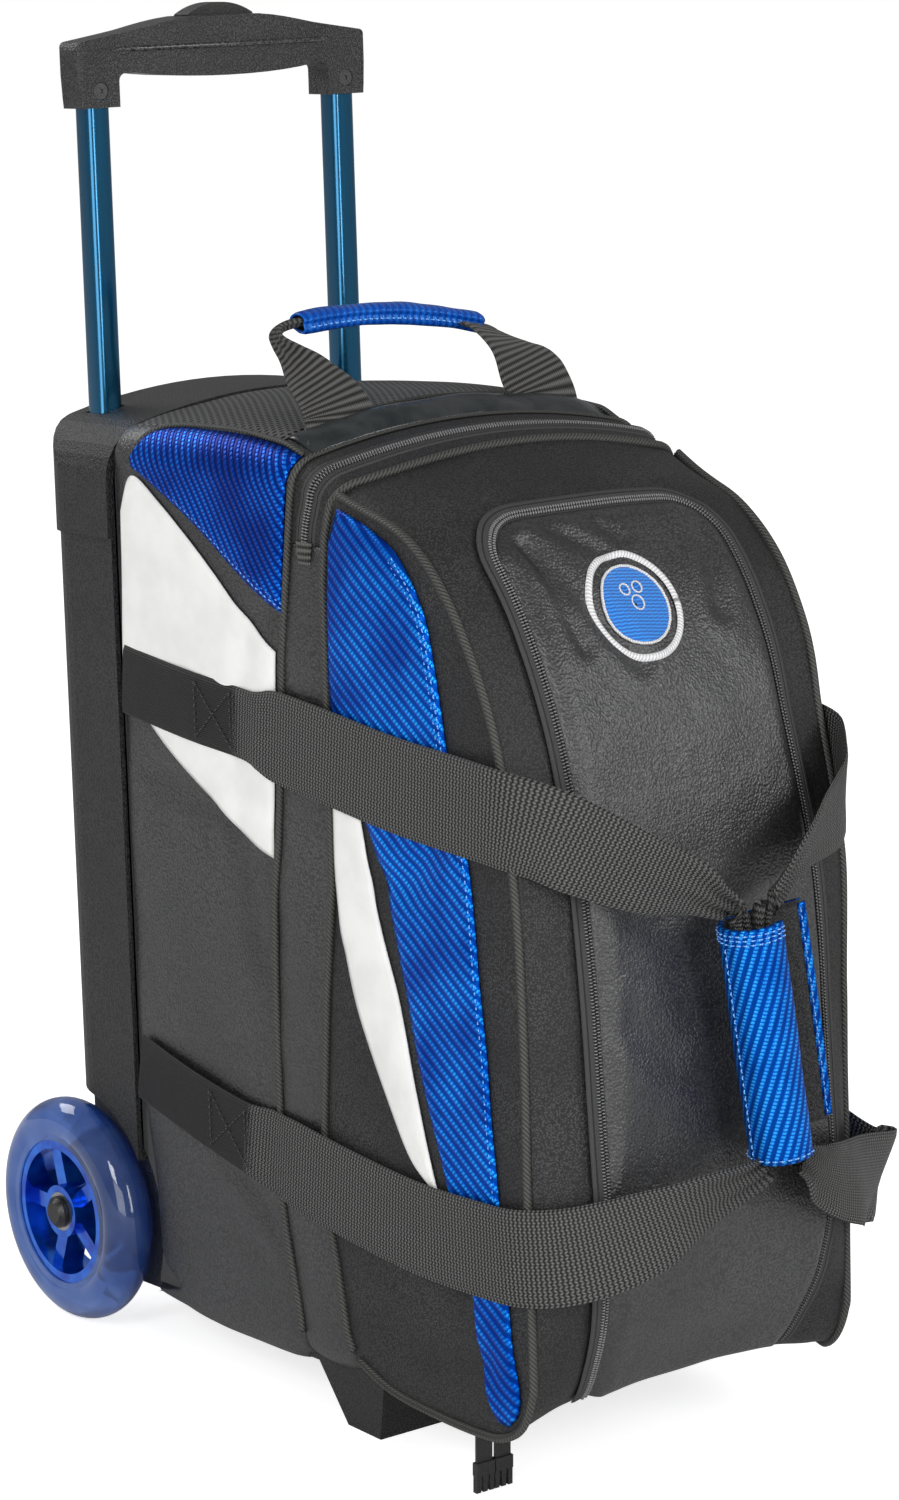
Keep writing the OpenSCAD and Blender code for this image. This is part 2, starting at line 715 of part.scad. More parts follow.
module hub_left() color([0.1, 0.3, 0.85]) at_wheel(-1) hub_shape();
module hub_right() color([0.1, 0.3, 0.85]) at_wheel(1) hub_shape();
module bearings_left() color([0.7, 0.7, 0.72]) at_wheel(-1) bearing_pair();
module bearings_right() color([0.7, 0.7, 0.72]) at_wheel(1) bearing_pair();

// Foot under the front half: a flange under the body and a stand that reaches the floor
flange_t = 4;
foot_rear = 60;
module foot() color([0.06, 0.06, 0.06]) difference() {
    intersection() {
        leaned() along_x(-foot_half_w, foot_half_w) polygon([
            [foot_rear, body_bottom - seat], [foot_rear, body_bottom - flange_t],
            [-8, body_bottom - flange_t], [foot_front + foot_flat, -20], [foot_front, -20],
            [foot_front - 6, body_bottom - seat]]);
        translate([-far / 2, -far, 0]) cube([far, 2 * far, far]);
    }
    leaned() foot_screw_places() cylinder(r = 2.2, h = 20, center = true);
}
module foot_screw_places() for (x = [-75, 0, 75])
    translate([x, foot_rear - 14, body_bottom - flange_t]) children();
module foot_screws() leaned() color([0.5, 0.5, 0.5]) foot_screw_places() {
    translate([0, 0, -1.6]) cylinder(r = 4, h = 1.5);
    translate([0, 0, -0.2]) cylinder(r = 2.1, h = flange_t);
}

// Webbing: a ribbon through stations [middle, direction of its width, width, thickness]
function unit(v) = v / norm(v);
function tangent(st, i) = unit(st[min(i + 1, len(st) - 1)][0] - st[max(i - 1, 0)][0]);
function ring(st, i) = let (
        c = st[i][0],
        t = tangent(st, i),
        u = unit(st[i][1] - (st[i][1] * t) * t),
        n = cross(t, u),
        a = u * st[i][2] / 2,
        b = n * st[i][3] / 2)
    [c - a - b, c + a - b, c + a + b, c - a + b];
module ribbon(st) {
    last = len(st) - 1;
    points = [for (i = [0:last]) each ring(st, i)];
    sides = [for (i = [0:last - 1], k = [0:3]) let (a = 4 * i + k, b = 4 * i + (k + 1) % 4)
        each [[a, b + 4, b], [a, a + 4, b + 4]]];
    e = 4 * last;
    ends = [[0, 1, 2], [0, 2, 3], [e + 3, e + 2, e], [e + 2, e + 1, e]];
    polyhedron(points, concat(sides, ends));
}

strap_x = body_half_w + 1.6 + strap_t / 2;
module strap_anchor(z) {
    translate([body_half_w + seat, strap_pivot_y + gap, z - strap_w / 2])
        cube([strap_t, anchor_rear - strap_pivot_y - gap, strap_w]);
}
module strap_anchors() {
    strap_anchor(strap_high_z);
    strap_anchor(strap_low_z);
}
module strap_anchors_left() leaned() color([0.04, 0.04, 0.04]) mirror([1, 0, 0]) strap_anchors();
module strap_anchors_right() leaned() color([0.04, 0.04, 0.04]) strap_anchors();

bundle_w = 12;
bundle_t = 8;
wrap_top = wrap_z + wrap_len / 2;
wrap_low = wrap_z - wrap_len / 2;
wrap_shift = wrap_len / 2 * sin(wrap_tilt);
bundle_x = bundle_w / 2 + 0.7;
bundle_y = wrap_y - 1;
bundle_out = 13;
// Both legs of a carry strap on the right side; each runs from the pivot round the front corner
// to the bundle at the end of the wrap.
function upper_leg(x_end) = [
    [[strap_x, strap_pivot_y, strap_high_z - 2], [0, 0, 1], strap_w, strap_t],
    [[strap_x, strap_pivot_y - 12, strap_high_z - 2], [0, 0, 1], strap_w, strap_t],
    [[strap_x + 1, -90, strap_high_z - 11], [0, 0.1, 1], strap_w, strap_t],
    [[strap_x + 1, 25 - front_reach, strap_high_z - 18], [0, 0.06, 1], strap_w, strap_t],
    [[strap_x, 5 - front_reach, strap_high_z - 20], [0.05, 0, 1], strap_w, strap_t],
    [[strap_x - 10, -front_reach - 14, strap_high_z - 24], [0.15, 0, 1], strap_w - 2, strap_t],
    [[76, wrap_y + 15, strap_high_z - 44], [0.35, -0.05, 1], strap_w - 8, strap_t],
    [[46, wrap_y + 8, wrap_top + 20], [0.4, -0.2, 1], 32, 3.4],
    [[x_end + 16, wrap_y + 2, wrap_top + 12], [0.3, -0.2, 1], 18, 5],
    [[x_end, bundle_y, wrap_top + 6], [0.1, 0, 1], bundle_w - 1, bundle_t - 1]];
function lower_leg(x_end) = [
    [[strap_x, strap_pivot_y, strap_low_z - 4], [0, 0, 1], strap_w, strap_t],
    [[strap_x, strap_pivot_y - 12, strap_low_z - 4], [0, 0, 1], strap_w, strap_t],
    [[strap_x + 2, -80, strap_low_z - 22], [0, 0.16, 1], strap_w, strap_t],
    [[strap_x + 2, 30 - front_reach, strap_low_z - 32], [0, 0.1, 1], strap_w, strap_t],
    [[strap_x + 1, 5 - front_reach, strap_low_z - 34], [0, 0, 1], strap_w, strap_t],
    [[strap_x - 8, -front_reach - 16, strap_low_z - 32], [-0.1, 0, 1], strap_w - 2, strap_t],
    [[76, wrap_y + 13, strap_low_z - 22], [-0.3, -0.05, 1], strap_w - 8, strap_t],
    [[48, wrap_y + 7, wrap_low - 20], [-0.4, -0.2, 1], 32, 3.4],
    [[x_end + 16, wrap_y + 2, wrap_low - 12], [-0.3, -0.2, 1], 18, 5],
    [[x_end, bundle_y, wrap_low - 6], [-0.1, 0, 1], bundle_w - 1, bundle_t - 1]];
// Places something drawn about the wrap's own axis.
module at_wrap() translate([0, wrap_y, wrap_z]) rotate([0, -wrap_tilt, 0]) children();
module bundle(side) at_wrap()
    translate([side * bundle_x - bundle_w / 2, -1 - bundle_t / 2, -wrap_len / 2 - bundle_out])
        cube([bundle_w, bundle_t, wrap_len + 2 * bundle_out]);
module carry_strap_right() leaned() color([0.04, 0.04, 0.04]) {
    ribbon(upper_leg(bundle_x - wrap_shift));
    ribbon(lower_leg(bundle_x + wrap_shift));
    bundle(1);
}
module carry_strap_left() leaned() color([0.04, 0.04, 0.04]) {
    mirror([1, 0, 0]) {
        ribbon(upper_leg(bundle_x + wrap_shift));
        ribbon(lower_leg(bundle_x - wrap_shift));
    }
    bundle(-1);
}
// The wrap is a sleeve that is open towards the right, with its rear lip running on past the opening.
wrap_edge_a = 290;
lip_end = [2 * wrap_r, wrap_r + 9];
module grip_wrap() leaned() color(blue) at_wrap() translate([0, 0, -wrap_len / 2]) linear_extrude(wrap_len)
    polygon(concat(
        arc([0, 0], wrap_r, wrap_edge_a, 90, 16),
        [lip_end + [0, wrap_t], lip_end],
        arc([0, 0], wrap_r - wrap_t, 90, wrap_edge_a, 16)));

// Top handle, leaning back at rest
handle_back = 44;
handle_z = body_top;
core_w = 14;
core_t = 6;
grip_end = [handle_grip_half + 8, handle_y + handle_back, handle_z + handle_rise - 8];
// Its ends narrow to a hem just above the anchors.
hem = 1;
module handle_leg() ribbon([
    [[handle_x, handle_y, handle_z - hem], [1, 0, 0], handle_w, 1],
    [[handle_x, handle_y, handle_z], [1, 0, 0], handle_w, strap_t],
    [[handle_x, handle_y, handle_z + 3], [1, 0, 0], handle_w, strap_t],
    [[handle_x, handle_y + 4, handle_z + 9], [1, 0, 0], handle_w, strap_t],
    [[handle_x + 8, handle_y + 16, handle_z + 22], [0.9, 0.3, -0.2], handle_w - 8, strap_t],
    [[handle_x + 9, handle_y + 30, handle_z + 34], [0.5, 0.8, -0.3], 26, strap_t + 0.6],
    [[handle_x + 2, handle_y + 40, handle_z + 41], [0, 0.9, -0.3], 18, 4],
    [grip_end, [0, 1, 0], core_w, core_t],
    [grip_end - [core_w, 0, 0], [0, 1, 0], core_w, core_t]]);
module handle_webbing() leaned() color([0.05, 0.05, 0.05]) {
    both_sides() handle_leg();
    translate([0, grip_end[1], grip_end[2]]) cube([2 * handle_grip_half, core_w, core_t], center = true);
}
module handle_wrap() leaned() color(blue)
    translate([0, grip_end[1], grip_end[2]]) rotate([0, 90, 0]) difference() {
        cylinder(r = handle_grip_r + 1, h = 2 * handle_grip_half + 2, center = true);
        cube([core_t + 2 * seat, core_w + 2 * seat, 3 * handle_grip_half], center = true);
    }
// The anchors are thin, so that the handle can fold past their edges.
anchor_h = 30;
anchor_t = strap_t - 1;
module handle_anchors() leaned() color([0.05, 0.05, 0.05]) difference() {
    both_sides() translate([handle_x - handle_w / 2, handle_y - anchor_t / 2, handle_z - anchor_h])
        cube([handle_w, anchor_t, anchor_h - strap_t / 2 - 2 * gap]);
    body_solid(-seat);
}

// Slider and pull at the right-hand end of the main zip
slider_size = [2.6, 7, 10];
pull_size = [1.4, 4, 22];
module zip_sliders() leaned() color([0.35, 0.35, 0.36])
    translate([body_half_w + trim_t + seat, zip_y + tape_w, zip_end_z - 4]) {
        translate([0, -slider_size[1] / 2, 0]) cube(slider_size);
        translate([slider_size[0], -pull_size[1] / 2, slider_size[2] / 2 + 3 - pull_size[2]]) cube(pull_size);
    }

// Two narrow tails with snap buckles that hang under the front left corner
tail_y = -152;
tail_x = [-108, -96];
tail_w = 10;
tail_t = 1.6;
function leaned_z(y, z) = wheel_r - (y - axle_y) * sin(lean) + (z - wheel_r) * cos(lean);
function leaned_y(y, z) = axle_y + (y - axle_y) * cos(lean) + (z - wheel_r) * sin(lean);
tail_pivot_z = leaned_z(tail_y, body_bottom) - gap - tail_t / 2;
buckle_w = 11.4;
buckle_t = 4;
buckle_h = 7;
buckle_top = 17;
prong_w = 2.8;
prong_t = 3;
// Strap, body and three prongs of one tail, around x = 0 and y = 0.
module buckle_tail() {
    translate([-tail_w / 2, 0, tail_pivot_z]) rotate([0, 90, 0]) cylinder(r = tail_t / 2, h = tail_w);
    translate([-tail_w / 2, -tail_t / 2, buckle_top - 1])
        cube([tail_w, tail_t, tail_pivot_z - buckle_top + 1]);
    translate([-buckle_w / 2, -buckle_t / 2, buckle_top - buckle_h]) cube([buckle_w, buckle_t, buckle_h]);
    for (s = [-1, 0, 1]) translate([(s * (buckle_w - prong_w) - prong_w) / 2, -prong_t / 2, 1])
        cube([prong_w, prong_t, buckle_top - buckle_h]);
}
module buckle_tails() color([0.06, 0.06, 0.06]) for (x = tail_x)
    translate([x, leaned_y(tail_y, body_bottom), 0]) buckle_tail();

base_board();
rear_shell();
rear_panel();
front_shell();
divider_panel();
side_pads();
lower_ball_cup();
separator();
mesh_panel();
handle_patch();
zip_tape_body();
blue_panel_rear_left();
blue_panel_rear_right();
white_panel_rear_left();
white_panel_rear_right();
blue_panel_front_left();
blue_panel_front_right();
white_panel_front_left();
white_panel_front_right();
pocket_lower();
strap_anchors_left();
strap_anchors_right();
handle_anchors();
buckle_tails();
back_tray();
top_cap();
guide_tube_left();
guide_tube_right();
axle_block_left();
axle_block_right();
axle();
axle_sleeves();
axle_caps();
foot();
foot_screws();
inner_tube_left();
inner_tube_right();
tube_plugs();
grip_lower();
grip_upper();
grip_screws();
release_button();
push_rods();
tyre_left();
hub_left();
bearings_left();
tyre_right();
hub_right();
bearings_right();
lid_shell();
zip_tape_lid();
pocket_upper();
lid_blue_panels();
badge();
zip_sliders();
handle_webbing();
handle_wrap();
carry_strap_left();
grip_wrap();
carry_strap_right();
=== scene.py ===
"""Looks of the wheeled bowling bag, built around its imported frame.

Shapes are worked out in millimetres in the bag's own upright frame: x to the right, y to the
back, z up from the floor. place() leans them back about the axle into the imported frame.
"""

import json
import math

import bpy
import numpy as np
from mathutils import Matrix, Vector, noise


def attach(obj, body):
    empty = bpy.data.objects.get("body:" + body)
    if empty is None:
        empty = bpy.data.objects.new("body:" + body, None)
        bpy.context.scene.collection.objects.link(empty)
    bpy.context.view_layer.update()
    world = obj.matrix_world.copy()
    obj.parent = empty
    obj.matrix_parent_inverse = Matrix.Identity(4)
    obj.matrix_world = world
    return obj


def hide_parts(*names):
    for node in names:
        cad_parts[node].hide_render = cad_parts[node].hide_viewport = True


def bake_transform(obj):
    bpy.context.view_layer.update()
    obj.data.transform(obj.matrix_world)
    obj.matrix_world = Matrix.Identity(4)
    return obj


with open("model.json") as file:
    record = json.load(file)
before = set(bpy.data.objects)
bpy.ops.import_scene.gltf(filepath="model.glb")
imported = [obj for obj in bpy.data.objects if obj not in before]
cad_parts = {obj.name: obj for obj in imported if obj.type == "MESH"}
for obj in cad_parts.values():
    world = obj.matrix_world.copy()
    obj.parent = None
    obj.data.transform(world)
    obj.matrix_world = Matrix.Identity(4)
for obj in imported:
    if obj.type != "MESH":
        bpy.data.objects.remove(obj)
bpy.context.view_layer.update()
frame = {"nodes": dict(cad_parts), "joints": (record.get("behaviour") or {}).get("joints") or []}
joints = {joint["name"]: joint for joint in frame["joints"]}

# Millimetres in a metre
MM = 1000

# The bag's own frame
AXLE = np.array(joints["wheel_left_spin"]["pos_m"]) * MM
AXLE[0] = 0
UP = np.array(joints["trolley_slide"]["axis"])
LEAN = np.column_stack([[1, 0, 0], [0, UP[2], -UP[1]], UP])


def place(points):
    """Points of the upright bag, in millimetres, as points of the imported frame, in metres."""
    return (AXLE + (np.asarray(points, float) - AXLE) @ LEAN.T) / MM


def unplace(points):
    """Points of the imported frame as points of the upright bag."""
    return (np.asarray(points, float) * MM - AXLE) @ LEAN + AXLE


def span(node):
    """Lowest and highest corner of a built piece in the upright bag."""
    points = unplace([v.co for v in frame["nodes"][node].data.vertices])
    return points.min(0), points.max(0)


# Half the bag's width inside its padding, its bottom, the tray's front face and the tubes' place
PADDING = 2.5
HALF = span("front_shell")[1][0] - PADDING
BOTTOM = span("front_shell")[0][2]
TRAY_Y = span("back_tray")[0][1]
TUBE_X = sum(corner[0] for corner in span("inner_tube_right")) / 2


# Materials
class Wire:
    """One value in a material. Operators on wires add the nodes that work them out."""

    def __init__(self, tree, socket):
        self.tree, self.socket = tree, socket

    def pick(self, name):
        return Wire(self.tree, self.socket.node.outputs[name])

    def math(self, operation, *others):
        values = dict(enumerate((self, *others)))
        return add_node(self.tree, "Math", {"operation": operation}, values)

    def __add__(self, other):
        return self.math("ADD", other)

    def __sub__(self, other):
        return self.math("SUBTRACT", other)

    def __rsub__(self, other):
        return self.math("MULTIPLY_ADD", -1, other)

    def __mul__(self, other):
        return self.math("MULTIPLY", other)

    def __truediv__(self, other):
        return self.math("DIVIDE", other)

    def __pow__(self, other):
        return self.math("POWER", other)

    __radd__ = __add__
    __rmul__ = __mul__

    def sin(self):
        return self.math("SINE")

    def abs(self):
        return self.math("ABSOLUTE")

    def fract(self):
        return self.math("FRACT")

    def floor(self):
        return self.math("FLOOR")

    def peak(self, other):
        return self.math("MAXIMUM", other)

    def step(self, low, high):
        """0 below low, 1 above high, smooth between."""
        values = {"Value": self, "From Min": low, "From Max": high}
        return add_node(self.tree, "MapRange", {"interpolation_type": "SMOOTHSTEP"}, values)


def feed(socket, value):
    """Links a wire to a socket, or sets the socket to a plain value."""
    if isinstance(value, Wire):
        value.tree.links.new(value.socket, socket)
    else:
        socket.default_value = value


def add_node(tree, kind, settings=None, values=None, output=0):
    """Adds a node with its settings, then the values or links of its sockets."""
    node = tree.nodes.new("ShaderNode" + kind)
    for name, setting in (settings or {}).items():
        setattr(node, name, setting)
    for socket, value in (values or {}).items():
        feed(node.inputs[socket], value)
    return Wire(tree, node.outputs[output])


# Sockets of a Mix node for colours: its two ends and its result
MIX_A, MIX_B, MIX_OUT = 6, 7, 2


class Finish:
    """A material in the making. rest: drawn in the piece's own place; laid: drawn along its length."""

    def __init__(self, name, slot):
        self.slot = slot
        self.material = bpy.data.materials.new(name)
        self.material.use_nodes = True
        self.tree = self.material.node_tree
        self.shader = self.tree.nodes["Principled BSDF"]

    def node(self, kind, settings=None, **values):
        named = {name.replace("_", " "): value for name, value in values.items()}
        return add_node(self.tree, kind, settings, named)

    def rest(self, on_frame=False):
        """Where a point lies at rest, in millimetres."""
        if on_frame:
            metres = self.node("TexCoord").pick("Object")
            return add_node(self.tree, "VectorMath", {"operation": "SCALE"}, {0: metres, "Scale": MM})
        return self.node("Attribute", {"attribute_name": "rest"}).pick("Vector")

    def laid(self):
        """Millimetres along and across a piece."""
        return self.parts(self.node("Attribute", {"attribute_name": "laid"}).pick("Vector"))[:2]

    def parts(self, vector):
        split = self.node("SeparateXYZ", Vector=vector)
        return split.pick("X"), split.pick("Y"), split.pick("Z")

    def join(self, x, y, z):
        return self.node("CombineXYZ", X=x, Y=y, Z=z)

    def noise(self, where, size, detail=2.0, rough=0.5):
        return self.node("TexNoise", Vector=where, Scale=1 / size, Detail=detail, Roughness=rough)

    def cells(self, where, size, feature="F1"):
        """Distance from the middle of the nearest cell."""
        return self.node("TexVoronoi", {"feature": feature}, Vector=where, Scale=1 / size)

    def mix(self, share, a, b):
        """A colour between two colours."""
        a, b = [end if isinstance(end, Wire) else (*end, 1) for end in (a, b)]
        return add_node(self.tree, "Mix", {"data_type": "RGBA"}, {0: share, MIX_A: a, MIX_B: b}, MIX_OUT)

    def bump(self, height, depth, under=None):
        """Relief of that depth in millimetres."""
        values = {"Height": height, "Distance": depth / MM}
        if under is not None:
            values["Normal"] = under
        return self.node("Bump", **values)

    def set(self, **values):
        for name, value in values.items():
            if not isinstance(value, Wire) and name == "Base_Color":
                value = (*value, 1)
            feed(self.shader.inputs[name.replace("_", " ")], value)
        return self


finishes = {}


def finish(name, slot, on_frame=False):
    """Turns a function that fills in a finish into one that makes it once and hands it out."""
    def register(maker):
        def get():
            if name not in finishes:
                made = Finish(name, slot)
                maker(made, made.rest(on_frame))
                finishes[name] = made
            return finishes[name]
        return get
    return register


@finish("pebbled_leather", "pu_leather")
def leather(f, p):
    grain = f.cells(p, 1.25, "SMOOTH_F1")
    folds = f.noise(p, 26, 3)
    patchy = f.noise(p, 90, 2)
    shade = f.mix(patchy.step(0.35, 0.7), (0.024, 0.024, 0.025), (0.044, 0.044, 0.046))
    # The grain's hollows are painted near black: painted shade in the grain
    f.set(Base_Color=f.mix(grain.step(0.15, 0.6), shade, (0.005, 0.005, 0.006)),
          Roughness=0.30 + 0.1 * patchy + 0.2 * grain, Specular_IOR_Level=0.9,
          Normal=f.bump(grain * -1, 0.42, f.bump(folds, 1.2)))


@finish("smooth_leather", "pu_leather")
def patch_leather(f, p):
    grain = f.cells(p, 0.9, "SMOOTH_F1")
    folds = f.noise(p, 14, 3)
    # The colour follows the folds: lighter on their crests and darker in their hollows, as painted light
    # and shade
    f.set(Base_Color=f.mix(folds.step(0.3, 0.7), (0.008, 0.012, 0.014), (0.028, 0.032, 0.034)),
          Roughness=0.2 + 0.16 * folds, Normal=f.bump(grain * -1, 0.08, f.bump(folds, 1.0)))


@finish("body_fabric", "body_fabric")
def body_cloth(f, p):
    weave = f.cells(p, 1.1, "F1")
    folds = f.noise(p, 34, 3)
    shade = f.mix(f.noise(p, 60).step(0.35, 0.7), (0.028, 0.028, 0.029), (0.048, 0.048, 0.050))
    # The weave's hollows are painted darker: painted shade in the weave
    f.set(Base_Color=f.mix(weave.step(0.2, 0.6), shade, (0.010, 0.010, 0.011)),
          Roughness=0.5 + 0.2 * weave, Specular_IOR_Level=0.4,
          Normal=f.bump(weave * -1, 0.2, f.bump(folds, 1.0)))


@finish("hook_cloth", "lining")
def hook_cloth(f, p):
    fuzz = f.noise(p, 0.9, 3)
    f.set(Base_Color=f.mix(fuzz.step(0.35, 0.7), (0.006, 0.006, 0.007), (0.05, 0.05, 0.052)),
          Roughness=0.85, Normal=f.bump(f.cells(p, 0.8), 0.5))


@finish("lining", "lining")
def lining(f, p):
    x, y, z = f.parts(p)
    weave = ((x * 4).sin() * (z * 4).sin()) * 0.5 + ((y * 4).sin() * (z * 4).sin()) * 0.5
    f.set(Base_Color=f.mix(f.noise(p, 30).step(0.3, 0.7), (0.018, 0.018, 0.02), (0.03, 0.03, 0.033)),
          Roughness=0.85, Normal=f.bump(weave, 0.1, f.bump(f.noise(p, 24), 1.2)))


def twill(f, p, tilt, dark, bright, spark, rows, dash=2.3):
    """Glossy vinyl embossed like a twill: rows of short glossy dashes. Its base colour holds painted
    highlights on the dashes, painted glints on their peaks and noise patches of painted sheen.
    """
    along, across = f.laid()
    u = along * math.cos(tilt) + across * math.sin(tilt)
    v = across * math.cos(tilt) - along * math.sin(tilt)
    row = v / rows
    turn = u / dash + row * 0.5
    tow = (turn.fract() * math.pi).sin()
    body = (row.fract() * math.pi).sin()
    line = body.step(0.35, 0.98)
    shine = line * (0.3 + 0.7 * (tow ** 0.8))
    # Noise patches of painted sheen, which brighten the ground, the dashes and the glints
    glow = f.noise(p, 40, 2).step(0.32, 0.68)
    ground = f.mix(glow, dark, [0.75 * a + 0.25 * b for a, b in zip(dark, bright)])
    # The dashes are painted lighter as a painted highlight, and their peaks take a painted glint colour
    colour = f.mix(shine * (0.55 + 0.45 * glow), ground, bright)
    glint = shine.step(0.55, 0.95) * (0.12 + 0.88 * glow)
    f.set(Base_Color=f.mix(glint, colour, spark), Roughness=0.36 - 0.12 * shine,
          Metallic=0.5, Specular_IOR_Level=0.4, Specular_Tint=(0.05, 0.40, 1.0, 1.0),
          Normal=f.bump(line * (0.6 + 0.4 * tow), 0.45, f.bump(f.noise(p, 30), 0.9)))


# Twill colours: the ground, the painted highlight on the dashes and the painted glint, then the row
# spacing
@finish("blue_twill_rear", "blue_vinyl")
def blue_rear(f, p):
    twill(f, p, 0.95, (0.0, 0.009, 0.13), (0.001, 0.055, 0.50), (0.01, 0.20, 0.80), 4.4)


@finish("blue_twill_front", "blue_vinyl")
def blue_front(f, p):
    twill(f, p, 0.62, (0.0, 0.022, 0.23), (0.002, 0.145, 0.80), (0.02, 0.38, 1.0), 5.4)


@finish("blue_twill_wrap", "blue_vinyl")
def blue_wrap(f, p):
    twill(f, p, -0.42, (0.0, 0.020, 0.19), (0.003, 0.13, 0.66), (0.03, 0.36, 0.92), 4.6, 2.0)


@finish("blue_grip_vinyl", "blue_vinyl")
def blue_grip(f, p):
    along, _ = f.laid()
    rib = (along * (2 * math.pi / 4.4)).sin() * 0.5 + 0.5
    # Noise patches of painted sheen, and rib tops painted lighter as a painted highlight
    glow = f.noise(p, 22, 2).step(0.3, 0.7)
    f.set(Base_Color=f.mix(rib * (0.3 + 0.4 * glow), (0.0, 0.035, 0.28), (0.003, 0.15, 0.70)),
          Roughness=0.24 + 0.1 * glow, Specular_IOR_Level=0.75, Specular_Tint=(0.2, 0.6, 1.0, 1.0),
          Normal=f.bump(rib, 0.35, f.bump(f.noise(p, 9), 0.5)))


@finish("white_vinyl", "white_vinyl")
def white_vinyl(f, p):
    folds = f.noise(p, 22, 3)
    # The colour follows the folds: lighter on their crests and darker in their hollows, as painted light
    # and shade
    f.set(Base_Color=f.mix(folds.step(0.3, 0.7), (0.76, 0.76, 0.745), (0.83, 0.83, 0.81)),
          Roughness=0.42 + 0.1 * f.noise(p, 3), Normal=f.bump(folds, 0.7, f.bump(f.cells(p, 1.4), 0.03)))


@finish("carry_webbing", "webbing")
def webbing(f, p):
    along, across = f.laid()
    rib = ((along + (across * (math.pi / 1.5)).sin() * 0.35) * (2 * math.pi / 2.5)).sin() * 0.5 + 0.5
    cord = (across * (2 * math.pi / 1.6)).sin() * 0.5 + 0.5
    bead = rib * (0.35 + 0.65 * cord)
    fine = (across * (math.pi / 0.8)).sin() * 0.5 + 0.5
    loose = along.step(101, 108)
    # Beads painted light on their tops and near black between them: painted highlight and painted shade
    beaded = f.mix(bead, (0.003, 0.003, 0.003), (0.190, 0.190, 0.186))
    flat = f.mix(fine, (0.006, 0.006, 0.006), (0.026, 0.026, 0.027))
    f.set(Base_Color=f.mix(loose, flat, beaded), Roughness=0.5 + 0.1 * f.noise(p, 18, 2),
          Specular_IOR_Level=0.25,
          Normal=f.bump(bead * loose + fine * 0.3, 0.6, f.bump(f.noise(p, 24), 0.7)))


@finish("ribbed_webbing", "webbing")
def ribbed(f, p):
    along, across = f.laid()
    rib = (along * (math.pi / 1.7)).sin() * 0.5 + 0.5
    cord = (across * (math.pi / 0.8)).sin() * 0.5 + 0.5
    # Ribs painted lighter on their tops and dark between them: painted highlight and painted shade
    f.set(Base_Color=f.mix(rib * (0.5 + 0.5 * cord), (0.003, 0.003, 0.003), (0.13, 0.128, 0.122)),
          Specular_IOR_Level=0.25, Roughness=0.52, Sheen_Weight=0.08, Normal=f.bump(rib + cord * 0.3, 0.6))


@finish("piping_cord", "body_fabric")
def piping_cloth(f, p):
    along, across = f.laid()
    thread = ((along * 2.6 + across * 2.2).sin()) * 0.5 + 0.5
    f.set(Base_Color=f.mix(thread, (0.012, 0.012, 0.011), (0.066, 0.065, 0.060)),
          Roughness=0.55, Normal=f.bump(thread, 0.25))


@finish("zip_tape", "zip")
def tape(f, p):
    along, across = f.laid()
    weave = (along * 4.2).sin() * (across * 5).sin()
    groove = 1 - (across.abs() - 5.2).abs().step(0.15, 0.6)
    f.set(Base_Color=f.mix(groove, (0.040, 0.040, 0.041), (0.006, 0.006, 0.006)),
          Roughness=0.72, Normal=f.bump(weave * 0.25 - groove, 0.5))


@finish("zip_coil", "zip")
def coil_nylon(f, p):
    along, _ = f.laid()
    tooth = (along * (2 * math.pi / 1.7)).sin() * 0.5 + 0.5
    # Each tooth's top is painted lighter: a painted highlight on the teeth
    f.set(Base_Color=f.mix(tooth.step(0.45, 0.95), (0.010, 0.010, 0.010), (0.19, 0.19, 0.19)),
          Roughness=0.3, Normal=f.bump(tooth, 0.3))


@finish("stitch_thread", "body_fabric")
def thread(f, p):
    along, across = f.laid()
    twist = (along * 5 + across * 4).sin() * 0.5 + 0.5
    f.set(Base_Color=f.mix(twist, (0.012, 0.012, 0.013), (0.07, 0.07, 0.074)), Roughness=0.6,
          Normal=f.bump(twist, 0.1))


@finish("blue_thread", "blue_vinyl")
def blue_thread(f, p):
    along, _ = f.laid()
    twist = (along * 5).sin() * 0.5 + 0.5
    f.set(Base_Color=f.mix(twist, (0.05, 0.26, 0.80), (0.28, 0.58, 1.0)), Roughness=0.5,
          Normal=f.bump(twist, 0.1))


@finish("white_embroidery", "badge")
def white_thread(f, p):
    along, across = f.laid()
    strand = (along * 4.4 + across * 1.2).sin() * 0.5 + 0.5
    f.set(Base_Color=f.mix(strand, (0.50, 0.50, 0.52), (0.82, 0.82, 0.82)), Roughness=0.5,
          Sheen_Weight=0.2, Normal=f.bump(strand, 0.3))


@finish("blue_embroidery", "badge")
def badge_thread(f, p):
    along, across = f.laid()
    strand = (across * 4.4 + (along * 0.35).floor() * 1.3).sin() * 0.5 + 0.5
    f.set(Base_Color=f.mix(strand, (0.0, 0.08, 0.36), (0.01, 0.24, 0.76)), Roughness=0.45,
          Sheen_Weight=0.2, Normal=f.bump(strand, 0.3))


@finish("open_mesh", "mesh")
def mesh_cloth(f, p):
    along, across = f.laid()
    stagger = (across / 3.4).floor() * 0.5
    a = (along / 4.0 + stagger).fract() - 0.5
    b = (across / 3.4).fract() - 0.5
    hole = 1 - (a * a + b * b).step(0.05, 0.12)
    # Holes painted near black: the dark backing seen through them, and painted shade in them
    f.set(Base_Color=f.mix(hole, (0.075, 0.075, 0.075), (0.003, 0.003, 0.003)),
          Roughness=0.6 + 0.3 * hole, Normal=f.bump(hole * -1, 0.8))


